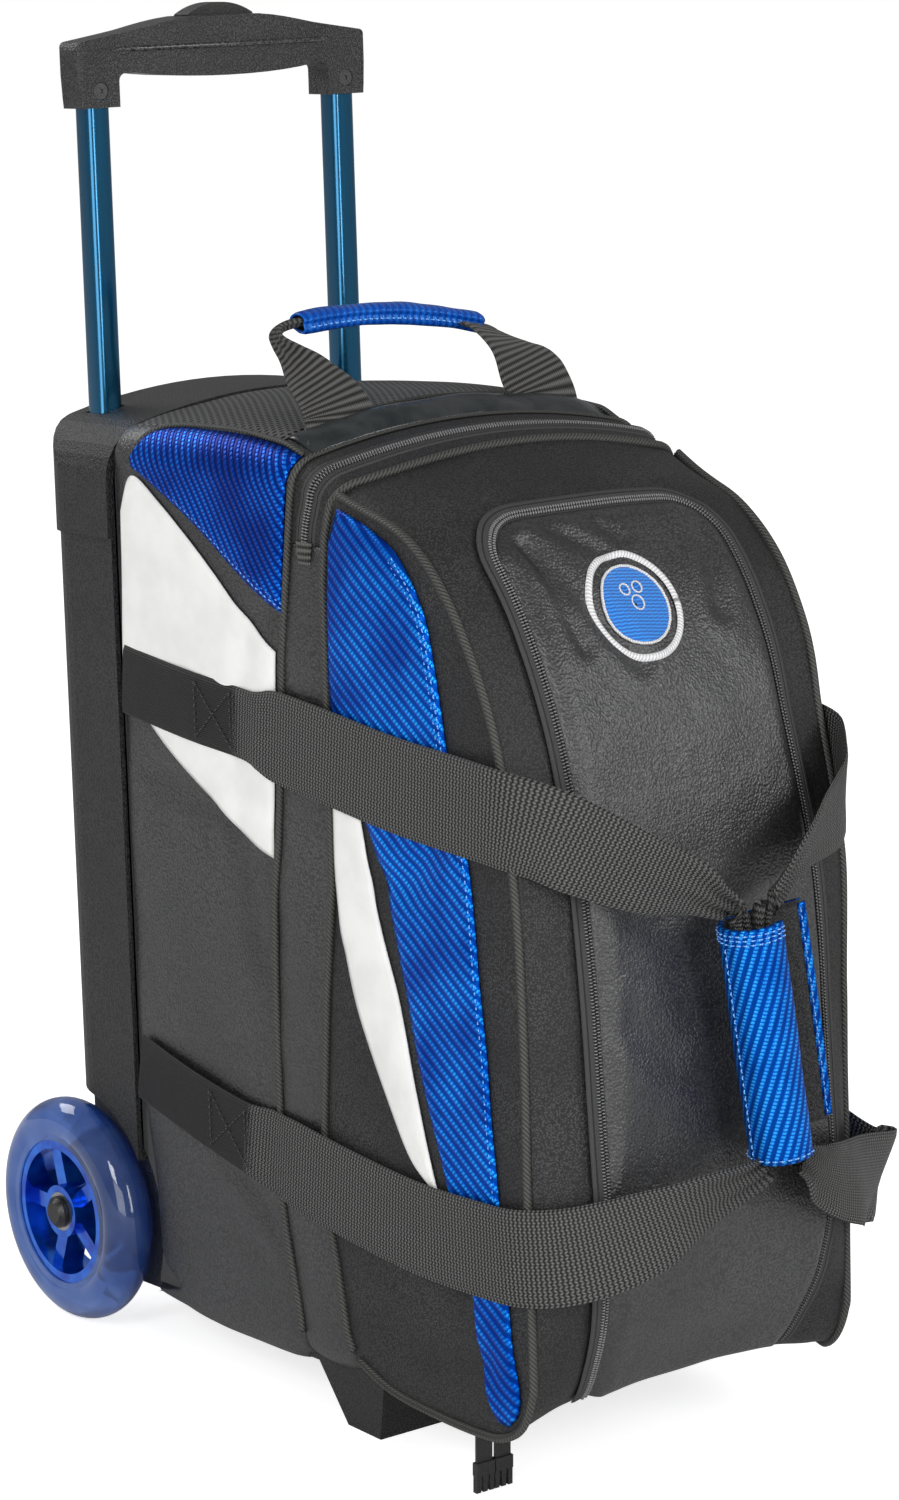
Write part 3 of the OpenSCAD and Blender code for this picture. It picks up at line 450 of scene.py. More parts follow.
def moulded(f, p, grain_size, depth, low, high, gloss):
    """Plastic from a mould with a fine grain."""
    grain = f.noise(p, grain_size, 3, 0.6)
    shade = f.mix(f.noise(p, 40).step(0.3, 0.7), low, high)
    speck = f.cells(p, grain_size * 1.3).step(0.25, 0.7)
    f.set(Base_Color=f.mix(speck, shade, [0.25 * part for part in low]),
          Roughness=gloss + 0.12 * grain, Normal=f.bump(grain - speck * 0.6, depth))


@finish("tray_plastic", "moulded_plastic", True)
def tray_plastic(f, p):
    moulded(f, p, 0.9, 0.3, (0.022, 0.022, 0.023), (0.032, 0.032, 0.033), 0.44)


@finish("grip_plastic", "grip_plastic", True)
def grip_finish(f, p):
    moulded(f, p, 1.0, 0.4, (0.028, 0.028, 0.028), (0.046, 0.046, 0.046), 0.30)


@finish("rib_plastic", "grip_plastic")
def rib_plastic(f, p):
    moulded(f, p, 1.2, 0.06, (0.060, 0.060, 0.060), (0.080, 0.080, 0.080), 0.14)


@finish("button_plastic", "grip_plastic", True)
def button_plastic(f, p):
    moulded(f, p, 0.9, 0.3, (0.020, 0.020, 0.020), (0.030, 0.030, 0.030), 0.34)


def drawn_lines(f, p):
    """Fine lines along a drawn tube."""
    x, y, z = f.parts(p)
    return f.noise(f.join(x * 3, y * 3, z * 0.02), 1.0, 2)


@finish("blue_anodised", "blue_aluminium")
def blue_metal(f, p):
    drawn = drawn_lines(f, p)
    f.set(Base_Color=f.mix(drawn, (0.0, 0.085, 0.19), (0.0, 0.140, 0.285)), Metallic=0.9,
          Roughness=0.17 + 0.07 * drawn, Coat_Weight=0.8, Coat_Roughness=0.14, Normal=f.bump(drawn, 0.02))


@finish("bare_aluminium", "bare_aluminium", True)
def bare_metal(f, p):
    drawn = drawn_lines(f, p)
    f.set(Base_Color=f.mix(drawn, (0.5, 0.5, 0.52), (0.62, 0.62, 0.64)), Metallic=1.0,
          Roughness=0.3 + 0.12 * drawn, Normal=f.bump(drawn, 0.02))


def turned_metal(f, p, size, low, high, metallic, gloss, spread):
    """Metal with small marks of turning."""
    turned = f.noise(p, size, 3)
    f.set(Base_Color=f.mix(turned, low, high), Metallic=metallic, Roughness=gloss + spread * turned,
          Normal=f.bump(turned, 0.03))


@finish("steel", "steel", True)
def steel(f, p):
    turned_metal(f, p, 1.4, (0.3, 0.3, 0.31), (0.45, 0.45, 0.46), 1.0, 0.26, 0.14)


@finish("dark_screw", "steel", True)
def dark_screw(f, p):
    turned_metal(f, p, 1.1, (0.05, 0.05, 0.05), (0.16, 0.16, 0.16), 0.9, 0.25, 0.1)


@finish("cap_plastic", "moulded_plastic", True)
def cap_plastic(f, p):
    moulded(f, p, 0.7, 0.1, (0.010, 0.010, 0.011), (0.015, 0.015, 0.016), 0.26)


@finish("clear_blue_tyre", "clear_blue_tyre", True)
def clear_tyre(f, p):
    swirl = f.noise(p, 22, 2)
    f.set(Base_Color=f.mix(swirl.step(0.3, 0.7), (0.03, 0.09, 0.33), (0.09, 0.17, 0.44)),
          Roughness=0.06 + 0.05 * swirl, Transmission_Weight=0.7, IOR=1.42, Coat_Weight=0.4,
          Coat_Roughness=0.05, Normal=f.bump(f.noise(p, 9), 0.12))


@finish("chrome_blue_hub", "blue_hub", True)
def hub_blue(f, p):
    glint = f.noise(p, 12, 2)
    f.set(Base_Color=f.mix(glint.step(0.25, 0.75), (0.0, 0.05, 0.50), (0.01, 0.20, 0.92)),
          Metallic=0.85, Roughness=0.12 + 0.08 * glint, Coat_Weight=0.5, Coat_Roughness=0.04,
          Normal=f.bump(glint, 0.3))


@finish("foam_cloth", "foam", True)
def foam(f, p):
    f.set(Base_Color=f.mix(f.noise(p, 8), (0.035, 0.035, 0.038), (0.055, 0.055, 0.06)), Roughness=0.9,
          Normal=f.bump(f.cells(p, 1.2), 0.2, f.bump(f.noise(p, 14), 1.0)))


@finish("board", "board", True)
def board(f, p):
    f.set(Base_Color=f.mix(f.noise(p, 6, 4), (0.02, 0.02, 0.02), (0.035, 0.034, 0.033)), Roughness=0.8,
          Normal=f.bump(f.noise(p, 2, 3), 0.15))


@finish("lining_on_frame", "lining", True)
def frame_lining(f, p):
    x, _, z = f.parts(p)
    f.set(Base_Color=f.mix(f.noise(p, 30).step(0.3, 0.7), (0.018, 0.018, 0.02), (0.03, 0.03, 0.033)),
          Roughness=0.85, Normal=f.bump((x * 4).sin() * (z * 4).sin(), 0.1))


# Meshes
def smooth_line(points, count):
    """A smooth curve through the points, with even spacing."""
    pts = np.asarray(points, float)
    ends = np.vstack([2 * pts[0] - pts[1], pts, 2 * pts[-1] - pts[-2]])
    t = np.linspace(0, 1, 24, endpoint=False)[:, None]
    out = []
    for a, b, c, d in zip(ends, ends[1:], ends[2:], ends[3:]):
        out.append(0.5 * (2 * b + (c - a) * t + (2 * a - 5 * b + 4 * c - d) * t**2
                          + (3 * b - a - 3 * c + d) * t**3))
    return even(np.vstack(out + [pts[-1:]]), count)


def even(points, count):
    """The same line with evenly spaced points."""
    pts = np.asarray(points, float)
    along = run_length(pts)
    at = np.linspace(0, along[-1], count)
    return np.column_stack([np.interp(at, along, pts[:, k]) for k in range(pts.shape[1])])


def run_length(points):
    """How far along a line each of its points is."""
    steps = np.linalg.norm(np.diff(points, axis=0), axis=1)
    return np.concatenate([[0], np.cumsum(steps)])


def unit(v):
    """Vectors scaled to a length of 1."""
    return v / np.maximum(np.linalg.norm(v, axis=-1, keepdims=True), 1e-9)


def ease(value, low, high):
    """0 below low, 1 above high, smooth between."""
    t = np.clip((np.asarray(value, float) - low) / (high - low), 0, 1)
    return t * t * (3 - 2 * t)


def slack(x, y, z):
    """How far the right side of the front hangs inwards."""
    depth = 16 - 7 * ease(z, 225, 300) - 5 * ease(z, 365, 420)
    return depth * ease(x, 35, 120) * ease(-y, 150, 196)


def settle(points):
    """The right side of the front, and most of all the lid's shoulder, hangs a little inwards."""
    x, y, z = points.T
    share = ease(z, 230, 380) * ease(-y, 45, 110) * ease(x, 0, 110)
    inwards = 9 * share + slack(x, y, z)
    return points - np.column_stack([inwards, -2 * share, 3 * share * ease(z, 380, 470)])


def make(name, points, faces, maker, laid=None):
    """A mesh object from points of the upright bag. laid holds each point's place on the piece."""
    pts = settle(np.asarray(points, float).reshape(-1, 3))
    mesh = bpy.data.meshes.new(name)
    mesh.from_pydata(place(pts).tolist(), [], [list(map(int, f)) for f in faces])
    rest = mesh.attributes.new("rest", "FLOAT_VECTOR", "POINT")
    rest.data.foreach_set("vector", pts.astype(np.float32).ravel())
    if laid is not None:
        lay = mesh.attributes.new("laid", "FLOAT_VECTOR", "POINT")
        flat = np.column_stack([np.asarray(laid, float).reshape(-1, 2), np.zeros(len(pts))])
        lay.data.foreach_set("vector", flat.astype(np.float32).ravel())
    mesh.polygons.foreach_set("use_smooth", [True] * len(mesh.polygons))
    piece = bpy.data.objects.new(name, mesh)
    bpy.context.scene.collection.objects.link(piece)
    done = maker()
    mesh.materials.append(done.material)
    return piece


def grid_faces(rows, columns, closed=False):
    """The four-sided faces between rows of points; closed joins each row's ends."""
    faces = []
    last = columns if closed else columns - 1
    for i in range(rows - 1):
        for j in range(last):
            k = (j + 1) % columns
            faces.append((i * columns + j, i * columns + k, (i + 1) * columns + k, (i + 1) * columns + j))
    return faces


def sheet_of(name, rows, maker, laid=None, closed=False, flip=False):
    """A surface through rows of points."""
    rows = np.asarray(rows, float)
    if laid is None:
        down = run_length(rows[:, rows.shape[1] // 2])
        laid = np.stack([np.repeat(down[:, None], rows.shape[1], 1),
                         np.array([run_length(r) for r in rows])], -1)
    faces = grid_faces(rows.shape[0], rows.shape[1], closed)
    if flip:
        faces = [f[::-1] for f in faces]
    return make(name, rows, faces, maker, laid)


def apply(piece, kind, **settings):
    """Adds a modifier and applies it."""
    modifier = piece.modifiers.new(kind.lower(), kind)
    for name, value in settings.items():
        setattr(modifier, name, value)
    evaluated = piece.evaluated_get(bpy.context.evaluated_depsgraph_get())
    mesh = bpy.data.meshes.new_from_object(evaluated)
    piece.modifiers.clear()
    old = piece.data
    piece.data = mesh
    bpy.data.meshes.remove(old)
    return piece


def thicken(piece, thickness, inside=None):
    """Gives a sheet its thickness inwards, with another finish on the inside."""
    if inside:
        piece.data.materials.append(inside().material)
    return apply(piece, "SOLIDIFY", thickness=thickness / MM, offset=-1,
                 material_offset=1 if inside else 0, use_even_offset=True)


def tube(name, line, radius, maker, sides=10, ends=True):
    """A round cord along a line. radius is a number or one for each point."""
    line = np.asarray(line, float)
    direction = unit(np.gradient(line, axis=0))
    up = np.array([0, 0, 1.0]) if abs(direction[0][2]) < 0.9 else np.array([1.0, 0, 0])
    side = unit(np.cross(direction[0], up))
    radii = np.broadcast_to(radius, len(line))
    rings = []
    for point, way, r in zip(line, direction, radii):
        side = unit(side - way * side.dot(way))
        other = np.cross(way, side)
        turn = np.linspace(0, 2 * math.pi, sides, endpoint=False)[:, None]
        rings.append(point + r * (np.cos(turn) * side + np.sin(turn) * other))
    along = run_length(line)
    laid = np.stack([np.repeat(along[:, None], sides, 1),
                     np.repeat([np.arange(sides) * radii.mean() * 2 * math.pi / sides], len(line), 0)], -1)
    faces = grid_faces(len(line), sides, True)
    if ends:
        faces.append(tuple(range(sides))[::-1])
        faces.append(tuple(range((len(line) - 1) * sides, len(line) * sides)))
    return make(name, rings, faces, maker, laid)


def ripple(points, size, depth, seed):
    """Soft unevenness of cloth, in millimetres."""
    shift = Vector((seed, seed * 1.7, 0))
    return np.array([noise.noise(Vector(point) / size + shift) for point in points]) * depth


def joined(name, pieces):
    """Several pieces joined into one."""
    bpy.ops.object.select_all(action="DESELECT")
    for piece in pieces:
        piece.select_set(True)
    bpy.context.view_layer.objects.active = pieces[0]
    bpy.ops.object.join()
    pieces[0].name = name
    return pieces[0]


# Where the main zip ends at each side: how far back and how high.
ZIP_END = np.array([0, -36.0, 462.0])


def on_lid(piece):
    """The piece keeps its place: its transform is baked into its mesh."""
    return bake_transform(piece)


def on(piece, body):
    """The piece moves with one body."""
    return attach(piece, body)


SIDES = {-1: "left", 1: "right"}

# Soft unevenness of the rear body and of the front half's sides: size, depth and seed
REAR_RIPPLE = (42, 0.9, 3)
SIDE_RIPPLE = (40, 0.8, 5)

# Thickness of the body's cloth, of the strips beside the zip and of the sewn-on panels
BODY_CLOTH, STRIP_CLOTH, PANEL_CLOTH = 2.2, 2.0, 0.9

# Seams of the body, as (y, z) on its sides
REAR_SEAM = [(-9, 36), (-7, 52), (2, 88), (5, 108), (4, 160), (4, 217), (2, 272), (-3, 300), (-7, 335),
             (-13, 403), (-18, 441), (-24, 483), (-27, 496)]
BAND_SEAM = [(-57, 35), (-50, 41), (-42, 82), (-36, 107), (-35, 157), (-41, 225), (-49, 285), (-50, 340),
             (-50, 400), (-50, 444), (-53, 469), (-57, 480)]
ZIP_SIDE = [(-36, 460), (-36.5, 466), (-38, 474), (-42, 485)]
FRONT_SEAM = [(-57, 34), (-86, 24), (-118, 20.5), (-156, 20), (-176, 22), (-191, 31), (-199, 47),
              (-201, 66), (-201, 160), (-200, 259), (-191, 357), (-163, 427), (-123, 470.5), (-64, 490)]
REAR_EDGE = [(100, 36), (116, 44.6), (123, 50), (123.7, 72), (125, 94), (129, 122), (134, 150), (135, 180),
             (135, 500)]

# Where the same seams cross the middle of the top
REAR_TOP = (-28, 516.5)
ZIP_TOP = (-48, 512)
BAND_TOP = (-69, 506)
CUT_Z = ZIP_END[2]

# The arched top: its crown, its corners and the hem below; where the crown meets a corner, and its drop
CROWN_R = 450.0
CORNER_R = 16.0
HEM_R = 14.0
TILT = math.asin((HALF - CORNER_R) / (CROWN_R - CORNER_R))
DROP = CROWN_R - CROWN_R * math.cos(TILT) + CORNER_R * math.cos(TILT)


def arch_outline(count=61):
    """The arched top from left to right as (x, drop) with its outward normals."""
    rise = np.linspace(0, math.pi / 2 - TILT, 12)
    corner = np.column_stack([HALF - CORNER_R + CORNER_R * np.cos(rise), DROP - CORNER_R * np.sin(rise)])
    sweep = np.linspace(TILT, -TILT, 40)[1:-1]
    crown = np.column_stack([CROWN_R * np.sin(sweep), CROWN_R - CROWN_R * np.cos(sweep)])
    left = corner[::-1] * [-1, 1]
    outline = even(np.vstack([corner, crown, left]), count)[::-1]
    way = unit(np.gradient(outline, axis=0))
    return outline, np.column_stack([way[:, 1], way[:, 0]])


ARCH, ARCH_WAY = arch_outline()
# Points of a loop round the bag: above and below a zip's end, round a hem, and across the bottom
UPPER, LOWER, HEM, UNDER = 8, 48, 6, 19
TOP_COUNT = 2 * UPPER + len(ARCH)


def seam_y(seam, z):
    """How far back a seam runs at a height."""
    pts = np.array(seam, float)
    return np.interp(z, pts[:, 1], pts[:, 0])


def hoop(seam, top, part="all"):
    """A loop of points round the bag along a seam, and their outward directions.
    It runs from the left zip end over the top to the right one, then down and under the bottom."""
    shoulder = top[1] - DROP
    z_up = np.linspace(CUT_Z, shoulder, UPPER, endpoint=False)
    y_up = seam_y(seam, z_up)
    left = np.column_stack([np.full(UPPER, -HALF), y_up, z_up])
    share = np.abs(ARCH[:, 0] / HALF) ** 8
    y_arch = top[0] + (seam_y(seam, shoulder) - top[0]) * share
    over = np.column_stack([ARCH[:, 0], y_arch, top[1] - ARCH[:, 1]])
    right = left[::-1] * [-1, 1, 1]
    side_way = np.tile([[-1.0, 0, 0]], (UPPER, 1))
    over_way = np.column_stack([ARCH_WAY[:, 0], np.zeros(len(ARCH)), ARCH_WAY[:, 1]])
    upper = np.vstack([left, over, right])
    upper_way = np.vstack([side_way, over_way, -side_way])
    if part == "top":
        return upper, upper_way
    z_down = np.linspace(CUT_Z, BOTTOM + HEM_R, LOWER + 1)[1:]
    down = np.column_stack([np.full(LOWER, HALF), seam_y(seam, z_down), z_down])
    turn = np.linspace(0, math.pi / 2, HEM + 1)[1:]
    y_hem = seam_y(seam, BOTTOM + HEM_R)
    hem = np.column_stack([HALF - HEM_R + HEM_R * np.cos(turn), np.full(HEM, y_hem),
                           BOTTOM + HEM_R - HEM_R * np.sin(turn)])
    hem_way = np.column_stack([np.cos(turn), np.zeros(HEM), -np.sin(turn)])
    across = np.linspace(HALF - HEM_R, HEM_R - HALF, UNDER + 2)[1:-1]
    under = np.column_stack([across, np.full(UNDER, y_hem), np.full(UNDER, BOTTOM)])
    mirror = [-1, 1, 1]
    low = np.vstack([down, hem, under, hem[::-1] * mirror, down[::-1] * mirror])
    low_way = np.vstack([np.tile([[1.0, 0, 0]], (LOWER, 1)), hem_way, np.tile([[0, 0, -1.0]], (UNDER, 1)),
                         hem_way[::-1] * mirror, np.tile([[-1.0, 0, 0]], (LOWER, 1))])
    if part == "low":
        ends = upper[[-1]], upper[[0]]
        return (np.vstack([ends[0], low, ends[1]]),
                np.vstack([upper_way[[-1]], low_way, upper_way[[0]]]))
    return np.vstack([upper, low]), np.vstack([upper_way, low_way])


def away_from(points, line):
    """Distance of each point from a line, both flat."""
    pts, line = np.asarray(points, float), np.asarray(line, float)
    best = np.full(len(pts), np.inf)
    for start, step in zip(line[:-1], np.diff(line, axis=0)):
        t = np.clip(((pts - start) @ step) / max(step @ step, 1e-9), 0, 1)
        best = np.minimum(best, np.linalg.norm(pts - start - t[:, None] * step, axis=1))
    return best


def pad(distance, height, reach=14.0):
    """How far padded cloth stands up at a distance from its seam."""
    return height * (1 - np.exp(-np.asarray(distance) / reach))


def crease(points, line, width, depth):
    """A fold along a line: a valley with a soft ridge on each side."""
    d = away_from(points, line) / width
    return depth * (0.45 * np.exp(-((d - 1.7) ** 2)) - np.exp(-d * d))


# Rear body
SIDE_FOLDS = [([(95, 140), (40, 118), (12, 96)], 7, 1.6), ([(122, 330), (60, 318), (8, 322)], 8, 1.2),
              ([(60, 90), (18, 70)], 6, 1.2), ([(12, 420), (30, 330), (14, 240)], 9, 1.0)]


def rear_lift(y, z):
    """Padding of the rear half of a side."""
    shape = np.shape(y)
    flat = np.column_stack([np.ravel(y), np.ravel(z)])
    y, z = flat.T
    room = np.minimum(y - seam_y(REAR_SEAM, z), seam_y(REAR_EDGE, z) - y)
    lift = pad(np.maximum(room, 0), 2.6, 12)
    for line, width, depth in SIDE_FOLDS:
        lift = lift + crease(flat, line, width, depth) * ease(room, 0, 12)
    return lift.reshape(shape)


REAR_Y, REAR_HIGH = 135.0, 521.0


def top_rise(share):
    """How far the top stands above a straight line from the zip (0) to the rear (1)."""
    return 5.0 * np.sin(share * math.pi) ** 0.8 + 6.0 * ease(share, 0, 0.13) * (1 - share)


def rear_body():
    """The leather of the rear half, from its seam back into the tray."""
    first, way = hoop(REAR_SEAM, REAR_TOP)
    last, _ = hoop(REAR_EDGE, (REAR_Y, REAR_HIGH))
    under = last[:, 2] < BOTTOM + HEM_R
    last[under, 1] = 100 + 35 * ease(BOTTOM + HEM_R - last[under, 2], 0, 12)
    rows = []
    for share in np.linspace(0, 1, 30):
        row = first + (last - first) * share
        lift = rear_lift(row[:, 1], np.clip(row[:, 2], 40, 480))
        side = np.abs(way[:, 0])
        row = row + way * (lift * side + top_rise(share) * (1 - side))[:, None]
        row = row + way * ripple(row, *REAR_RIPPLE)[:, None]
        rows.append(row)
    edge = rows[-1]
    low = ease(150 - edge[:, 2], 0, 12) * np.abs(way[:, 0])
    for back, inset in ((1.2, 0.7), (1.8, 2.4)):
        rows.append(edge + [0, back, 0] - way * inset)
    deep = 3.5 + 11 * low
    rows.append(edge + [0, 2.4, 0] - way * deep[:, None])
    final = edge - way * deep[:, None]
    final[:, 1] = TRAY_Y + 0.3
    rows.append(final)
    piece = sheet_of("rear_body", rows, leather, closed=True)
    thicken(piece, 2.4, lining)
    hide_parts("rear_shell")
    return on(piece, "bag")


rear_body()


# Band between the two seams; the main zip runs in its upper part
def band_rows(first, second, way, lift, across):
    """Rows of a strip between two loops, crowned by lift in its middle."""
    share = np.linspace(0, 1, across)
    rows = np.array([first + (second - first) * s for s in share])
    rows = rows + way[None] * (lift * np.sin(share * math.pi) ** 0.6)[:, None, None]
    return rows


rear_top, top_way = hoop(REAR_SEAM, REAR_TOP, "top")
zip_top, _ = hoop(ZIP_SIDE, ZIP_TOP, "top")
band_top, _ = hoop(BAND_SEAM, BAND_TOP, "top")
rear_low, low_way = hoop(REAR_SEAM, REAR_TOP, "low")
band_low, _ = hoop(BAND_SEAM, BAND_TOP, "low")


def lower_band():
    """The leather band down both sides and under the bag."""
    rows = band_rows(rear_low, band_low, low_way, 2.2, 13)
    shake = ripple(rows.reshape(-1, 3), 30, 0.8, 7).reshape(rows.shape[:2])
    rows = rows + low_way[None] * shake[..., None]
    piece = sheet_of("band_lower", rows, leather, flip=True)
    thicken(piece, BODY_CLOTH, lining)
    return on_lid(piece)


def zip_strip(name, first, second):
    """A strip of body cloth along one side of the main zip."""
    piece = sheet_of(name, band_rows(first, second, top_way, 0.8, 7), body_cloth, flip=True)
    return thicken(piece, STRIP_CLOTH, lining)


lower_band()
on(zip_strip("band_behind_zip", rear_top, zip_top), "bag")
on_lid(zip_strip("band_before_zip", zip_top, band_top))

# Front: a surface over (x, s), where s runs from under the bag over the toe and up to the band
FRONT_KEYS = np.array([
    (-50, 24, -57, 34), (-84, 24, -86, 24), (-118, 24.5, -118, 20.5), (-156, 26, -156, 20),
    (-178.5, 40, -190, 30), (-193, 72, -200.5, 62), (-201, 108, -201, 110), (-202.5, 160, -201, 160),
    (-202, 259, -200, 259), (-192.5, 350, -191.5, 356), (-163, 424, -163, 426), (-121, 474, -123, 470),
    (-94, 492, -94, 482), (-69, 506, -64, 490)], float)
FRONT_LINE = smooth_line(FRONT_KEYS, 400)
FRONT_RUN = run_length(FRONT_LINE[:, :2])
FRONT_LONG = FRONT_RUN[-1]
SWELL = [(20, 0), (40, 1), (60, 4), (85, 10), (110, 14), (151, 15), (200, 11.5), (283, 7), (346, 3.5),
         (420, 3.5), (467, 5), (488, 2), (506, 0)]


def front_s(z):
    """Where the front's middle line reaches a height, above the toe."""
    above = (FRONT_LINE[:, 1] > 30) & (FRONT_LINE[:, 0] < -60)
    return np.interp(z, FRONT_LINE[above, 1], FRONT_RUN[above])


TOE_S = float(FRONT_RUN[np.argmax(FRONT_LINE[:, 0] < -176)])
POCKET_HALF = 80.0
POCKET_TOP = float(front_s(474.0))
POCKET_CORNER = 30.0


def front_swell(x, s):
    """The front stands out between its seams, most of all low down."""
    z = np.interp(s, FRONT_RUN, FRONT_LINE[:, 1])
    z = np.where(s < TOE_S, 20.0, z)
    table = np.array(SWELL, float)
    height = np.interp(z, table[:, 0], table[:, 1]) * ease(s, 90, TOE_S + 30)
    out = np.clip((np.abs(x) - POCKET_HALF) / (HALF - POCKET_HALF), 0, 1)
    return height * (1 - out**1.8) + pad(np.minimum(HALF - np.abs(x), 20), 1.2, 8) * ease(s, 30, 90)


def front_base(x, s, lift):
    """Points of the front before it is drawn up to the band at its top."""
    line = np.column_stack([np.interp(s, FRONT_RUN, FRONT_LINE[:, k]) for k in range(4)])
    ahead = np.column_stack([np.interp(s + 2, FRONT_RUN, FRONT_LINE[:, k]) for k in range(2)])
    behind = np.column_stack([np.interp(s - 2, FRONT_RUN, FRONT_LINE[:, k]) for k in range(2)])
    way = unit(ahead - behind)
    out = np.column_stack([-way[:, 1], way[:, 0]])
    share = (np.minimum(np.abs(x) / HALF, 1) ** 2.6)[:, None]
    flat = line[:, :2] + (line[:, 2:] - line[:, :2]) * share + out * lift[:, None]
    return np.column_stack([x, flat])


def front(x, s, lift=0.0):
    """Points on the front; lift is the height above its cloth."""
    x, s = np.broadcast_arrays(np.asarray(x, float), np.asarray(s, float))
    shape = x.shape
    x, s = x.ravel(), s.ravel()
    lifts = np.broadcast_to(lift, shape).ravel()
    points = front_base(x, s, front_swell(x, s) + lifts)
    near = ease(s, FRONT_LONG - 55, FRONT_LONG)[:, None]
    across, deep, high = band_top[UPPER:-UPPER].T
    target = np.column_stack([x, np.interp(x, across, deep), np.interp(x, across, high) + lifts])
    return (points + (target - points) * near).reshape(*shape, 3)


def front_out(x, s):
    """Outward directions on the front."""
    x, s = np.asarray(x, float), np.asarray(s, float)
    across = front(x + 1, s) - front(x - 1, s)
    along = front(x, s + 1.5) - front(x, s - 1.5)
    return unit(np.cross(across, along))


def front_cloth():
    """The cloth of the front and of the lid's front, a little lower under the pocket."""
    wing = np.linspace(78, HALF, 13)
    xs = np.concatenate([-wing[::-1], np.linspace(-70, 70, 15), wing])
    x, s = np.meshgrid(xs, np.linspace(0, FRONT_LONG, 120))
    rows = front(x, s)
    facing = front_out(x.ravel(), s.ravel()).reshape(rows.shape)
    soft = ripple(rows.reshape(-1, 3), 38, 1.1, 11) * ease(HALF - np.abs(x.ravel()), 0, 14)
    under_pocket = (np.abs(x) < POCKET_HALF - 4) & (s > TOE_S + 10) & (s < POCKET_TOP - 8)
    rows = rows + facing * (soft.reshape(x.shape) - 3.0 * under_pocket)[..., None]
    piece = sheet_of("front_skin", rows, body_cloth, np.stack([s, x], -1))
    thicken(piece, BODY_CLOTH, lining)
    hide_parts("front_shell", "lid_shell")
    return on_lid(piece)


front_cloth()

# Sides of the front half
FRONT_FOLDS = [([(-150, 330), (-120, 300), (-96, 296)], 8, 1.2),
               ([(-60, 250), (-100, 170), (-150, 96)], 10, 1.0),
               ([(-170, 60), (-120, 52), (-80, 60)], 9, 1.4)]
band_edge = smooth_line([(-57, 34)] + BAND_SEAM[1:] + [(-64, 490)], 90)
front_edge = smooth_line(FRONT_SEAM, 90)


def side_lift(y, z):
    """Padding of a side's front half."""
    flat = np.column_stack([np.ravel(y), np.ravel(z)])
    room = np.minimum(away_from(flat, BAND_SEAM), away_from(flat, FRONT_SEAM))
    lift = pad(room, 3.0, 13)
    for line, width, depth in FRONT_FOLDS:
        lift = lift + crease(flat, line, width, depth) * ease(room, 2, 16)
    return lift.reshape(np.shape(y))


def side_front(hand, side):
    """The cloth of one side in front of the band."""
    share = np.linspace(0, 1, 34)[None, :, None]
    flat = band_edge[:, None] + (front_edge - band_edge)[:, None] * share
    lift = side_lift(flat[..., 0], flat[..., 1])
    x = hand * (HALF + lift)
    rows = np.concatenate([x[..., None], flat], -1)
    shake = ripple(rows.reshape(-1, 3), *SIDE_RIPPLE).reshape(x.shape)
    rows[..., 0] += hand * shake * ease(lift, 0.3, 2.0)
    piece = sheet_of(f"side_front_{side}", rows, body_cloth, flat, flip=hand > 0)
    thicken(piece, BODY_CLOTH, lining)
    return on_lid(piece)


for hand, side in SIDES.items():
    side_front(hand, side)


# Piping
def loop_line(seam, top, lift):
    """The visible part of a seam round the bag, from the left foot over the top to the right foot."""
    points, ways = hoop(seam, top)
    points = np.vstack([points[-LOWER:], points[:TOP_COUNT + LOWER]])
    ways = np.vstack([ways[-LOWER:], ways[:TOP_COUNT + LOWER]])
    return points + ways * lift


def wavering(line, size, depth, seed):
    """The line with small bends, as cord has under cloth."""
    shift = np.column_stack([ripple(line, size, depth, seed + k) for k in (0.0, 2.3, 4.1)])
    return line + shift


def body_piping():
    """Piping round the two seams of the body and down the edges of the front."""
    line = even(loop_line(REAR_SEAM, REAR_TOP, 1.0), 420)
    on(tube("rear_piping", line, 2.1 - 1.1 * ease(line[:, 2], 496, 512), piping_cloth), "bag")
    line = even(loop_line(BAND_SEAM, BAND_TOP, 1.0), 420)
    on_lid(tube("band_piping", line, 2.3, piping_cloth))
    flat = smooth_line(FRONT_SEAM, 300)
    for hand, side in SIDES.items():
        line = np.column_stack([np.full(len(flat), hand * (HALF + 0.3)), flat])
        on_lid(tube(f"front_piping_{side}", wavering(line, 60, 0.7, 9), 2.3, piping_cloth))


body_piping()


# Sewn-on side panels
def rear_side(hand, y, q, lift):
    """Points of a rear side; q is the height, and runs on round the shoulder."""
    share = np.clip((y - REAR_TOP[0]) / (REAR_Y - REAR_TOP[0]), 0, 1)
    shoulder = REAR_TOP[1] + (REAR_HIGH - REAR_TOP[1]) * share - DROP
    turn = np.clip((q - shoulder) / CORNER_R, 0, math.pi / 2 - TILT)
    out = rear_lift(y, np.minimum(q, 480)) * np.cos(turn) + top_rise(share) * (1 - np.cos(turn)) + lift
    beyond = np.maximum(q - shoulder - CORNER_R * (math.pi / 2 - TILT), 0)
    x = HALF - CORNER_R + (CORNER_R + out) * np.cos(turn) - beyond * math.cos(TILT)
    z = np.minimum(q, shoulder) + (CORNER_R + out) * np.sin(turn) + beyond * math.sin(TILT)
    points = np.stack([hand * x, y, z], -1)
    shake = ripple(points.reshape(-1, 3), *REAR_RIPPLE).reshape(y.shape)
    points[..., 0] += hand * shake * np.cos(turn)
    points[..., 2] += shake * np.sin(turn)
    return points


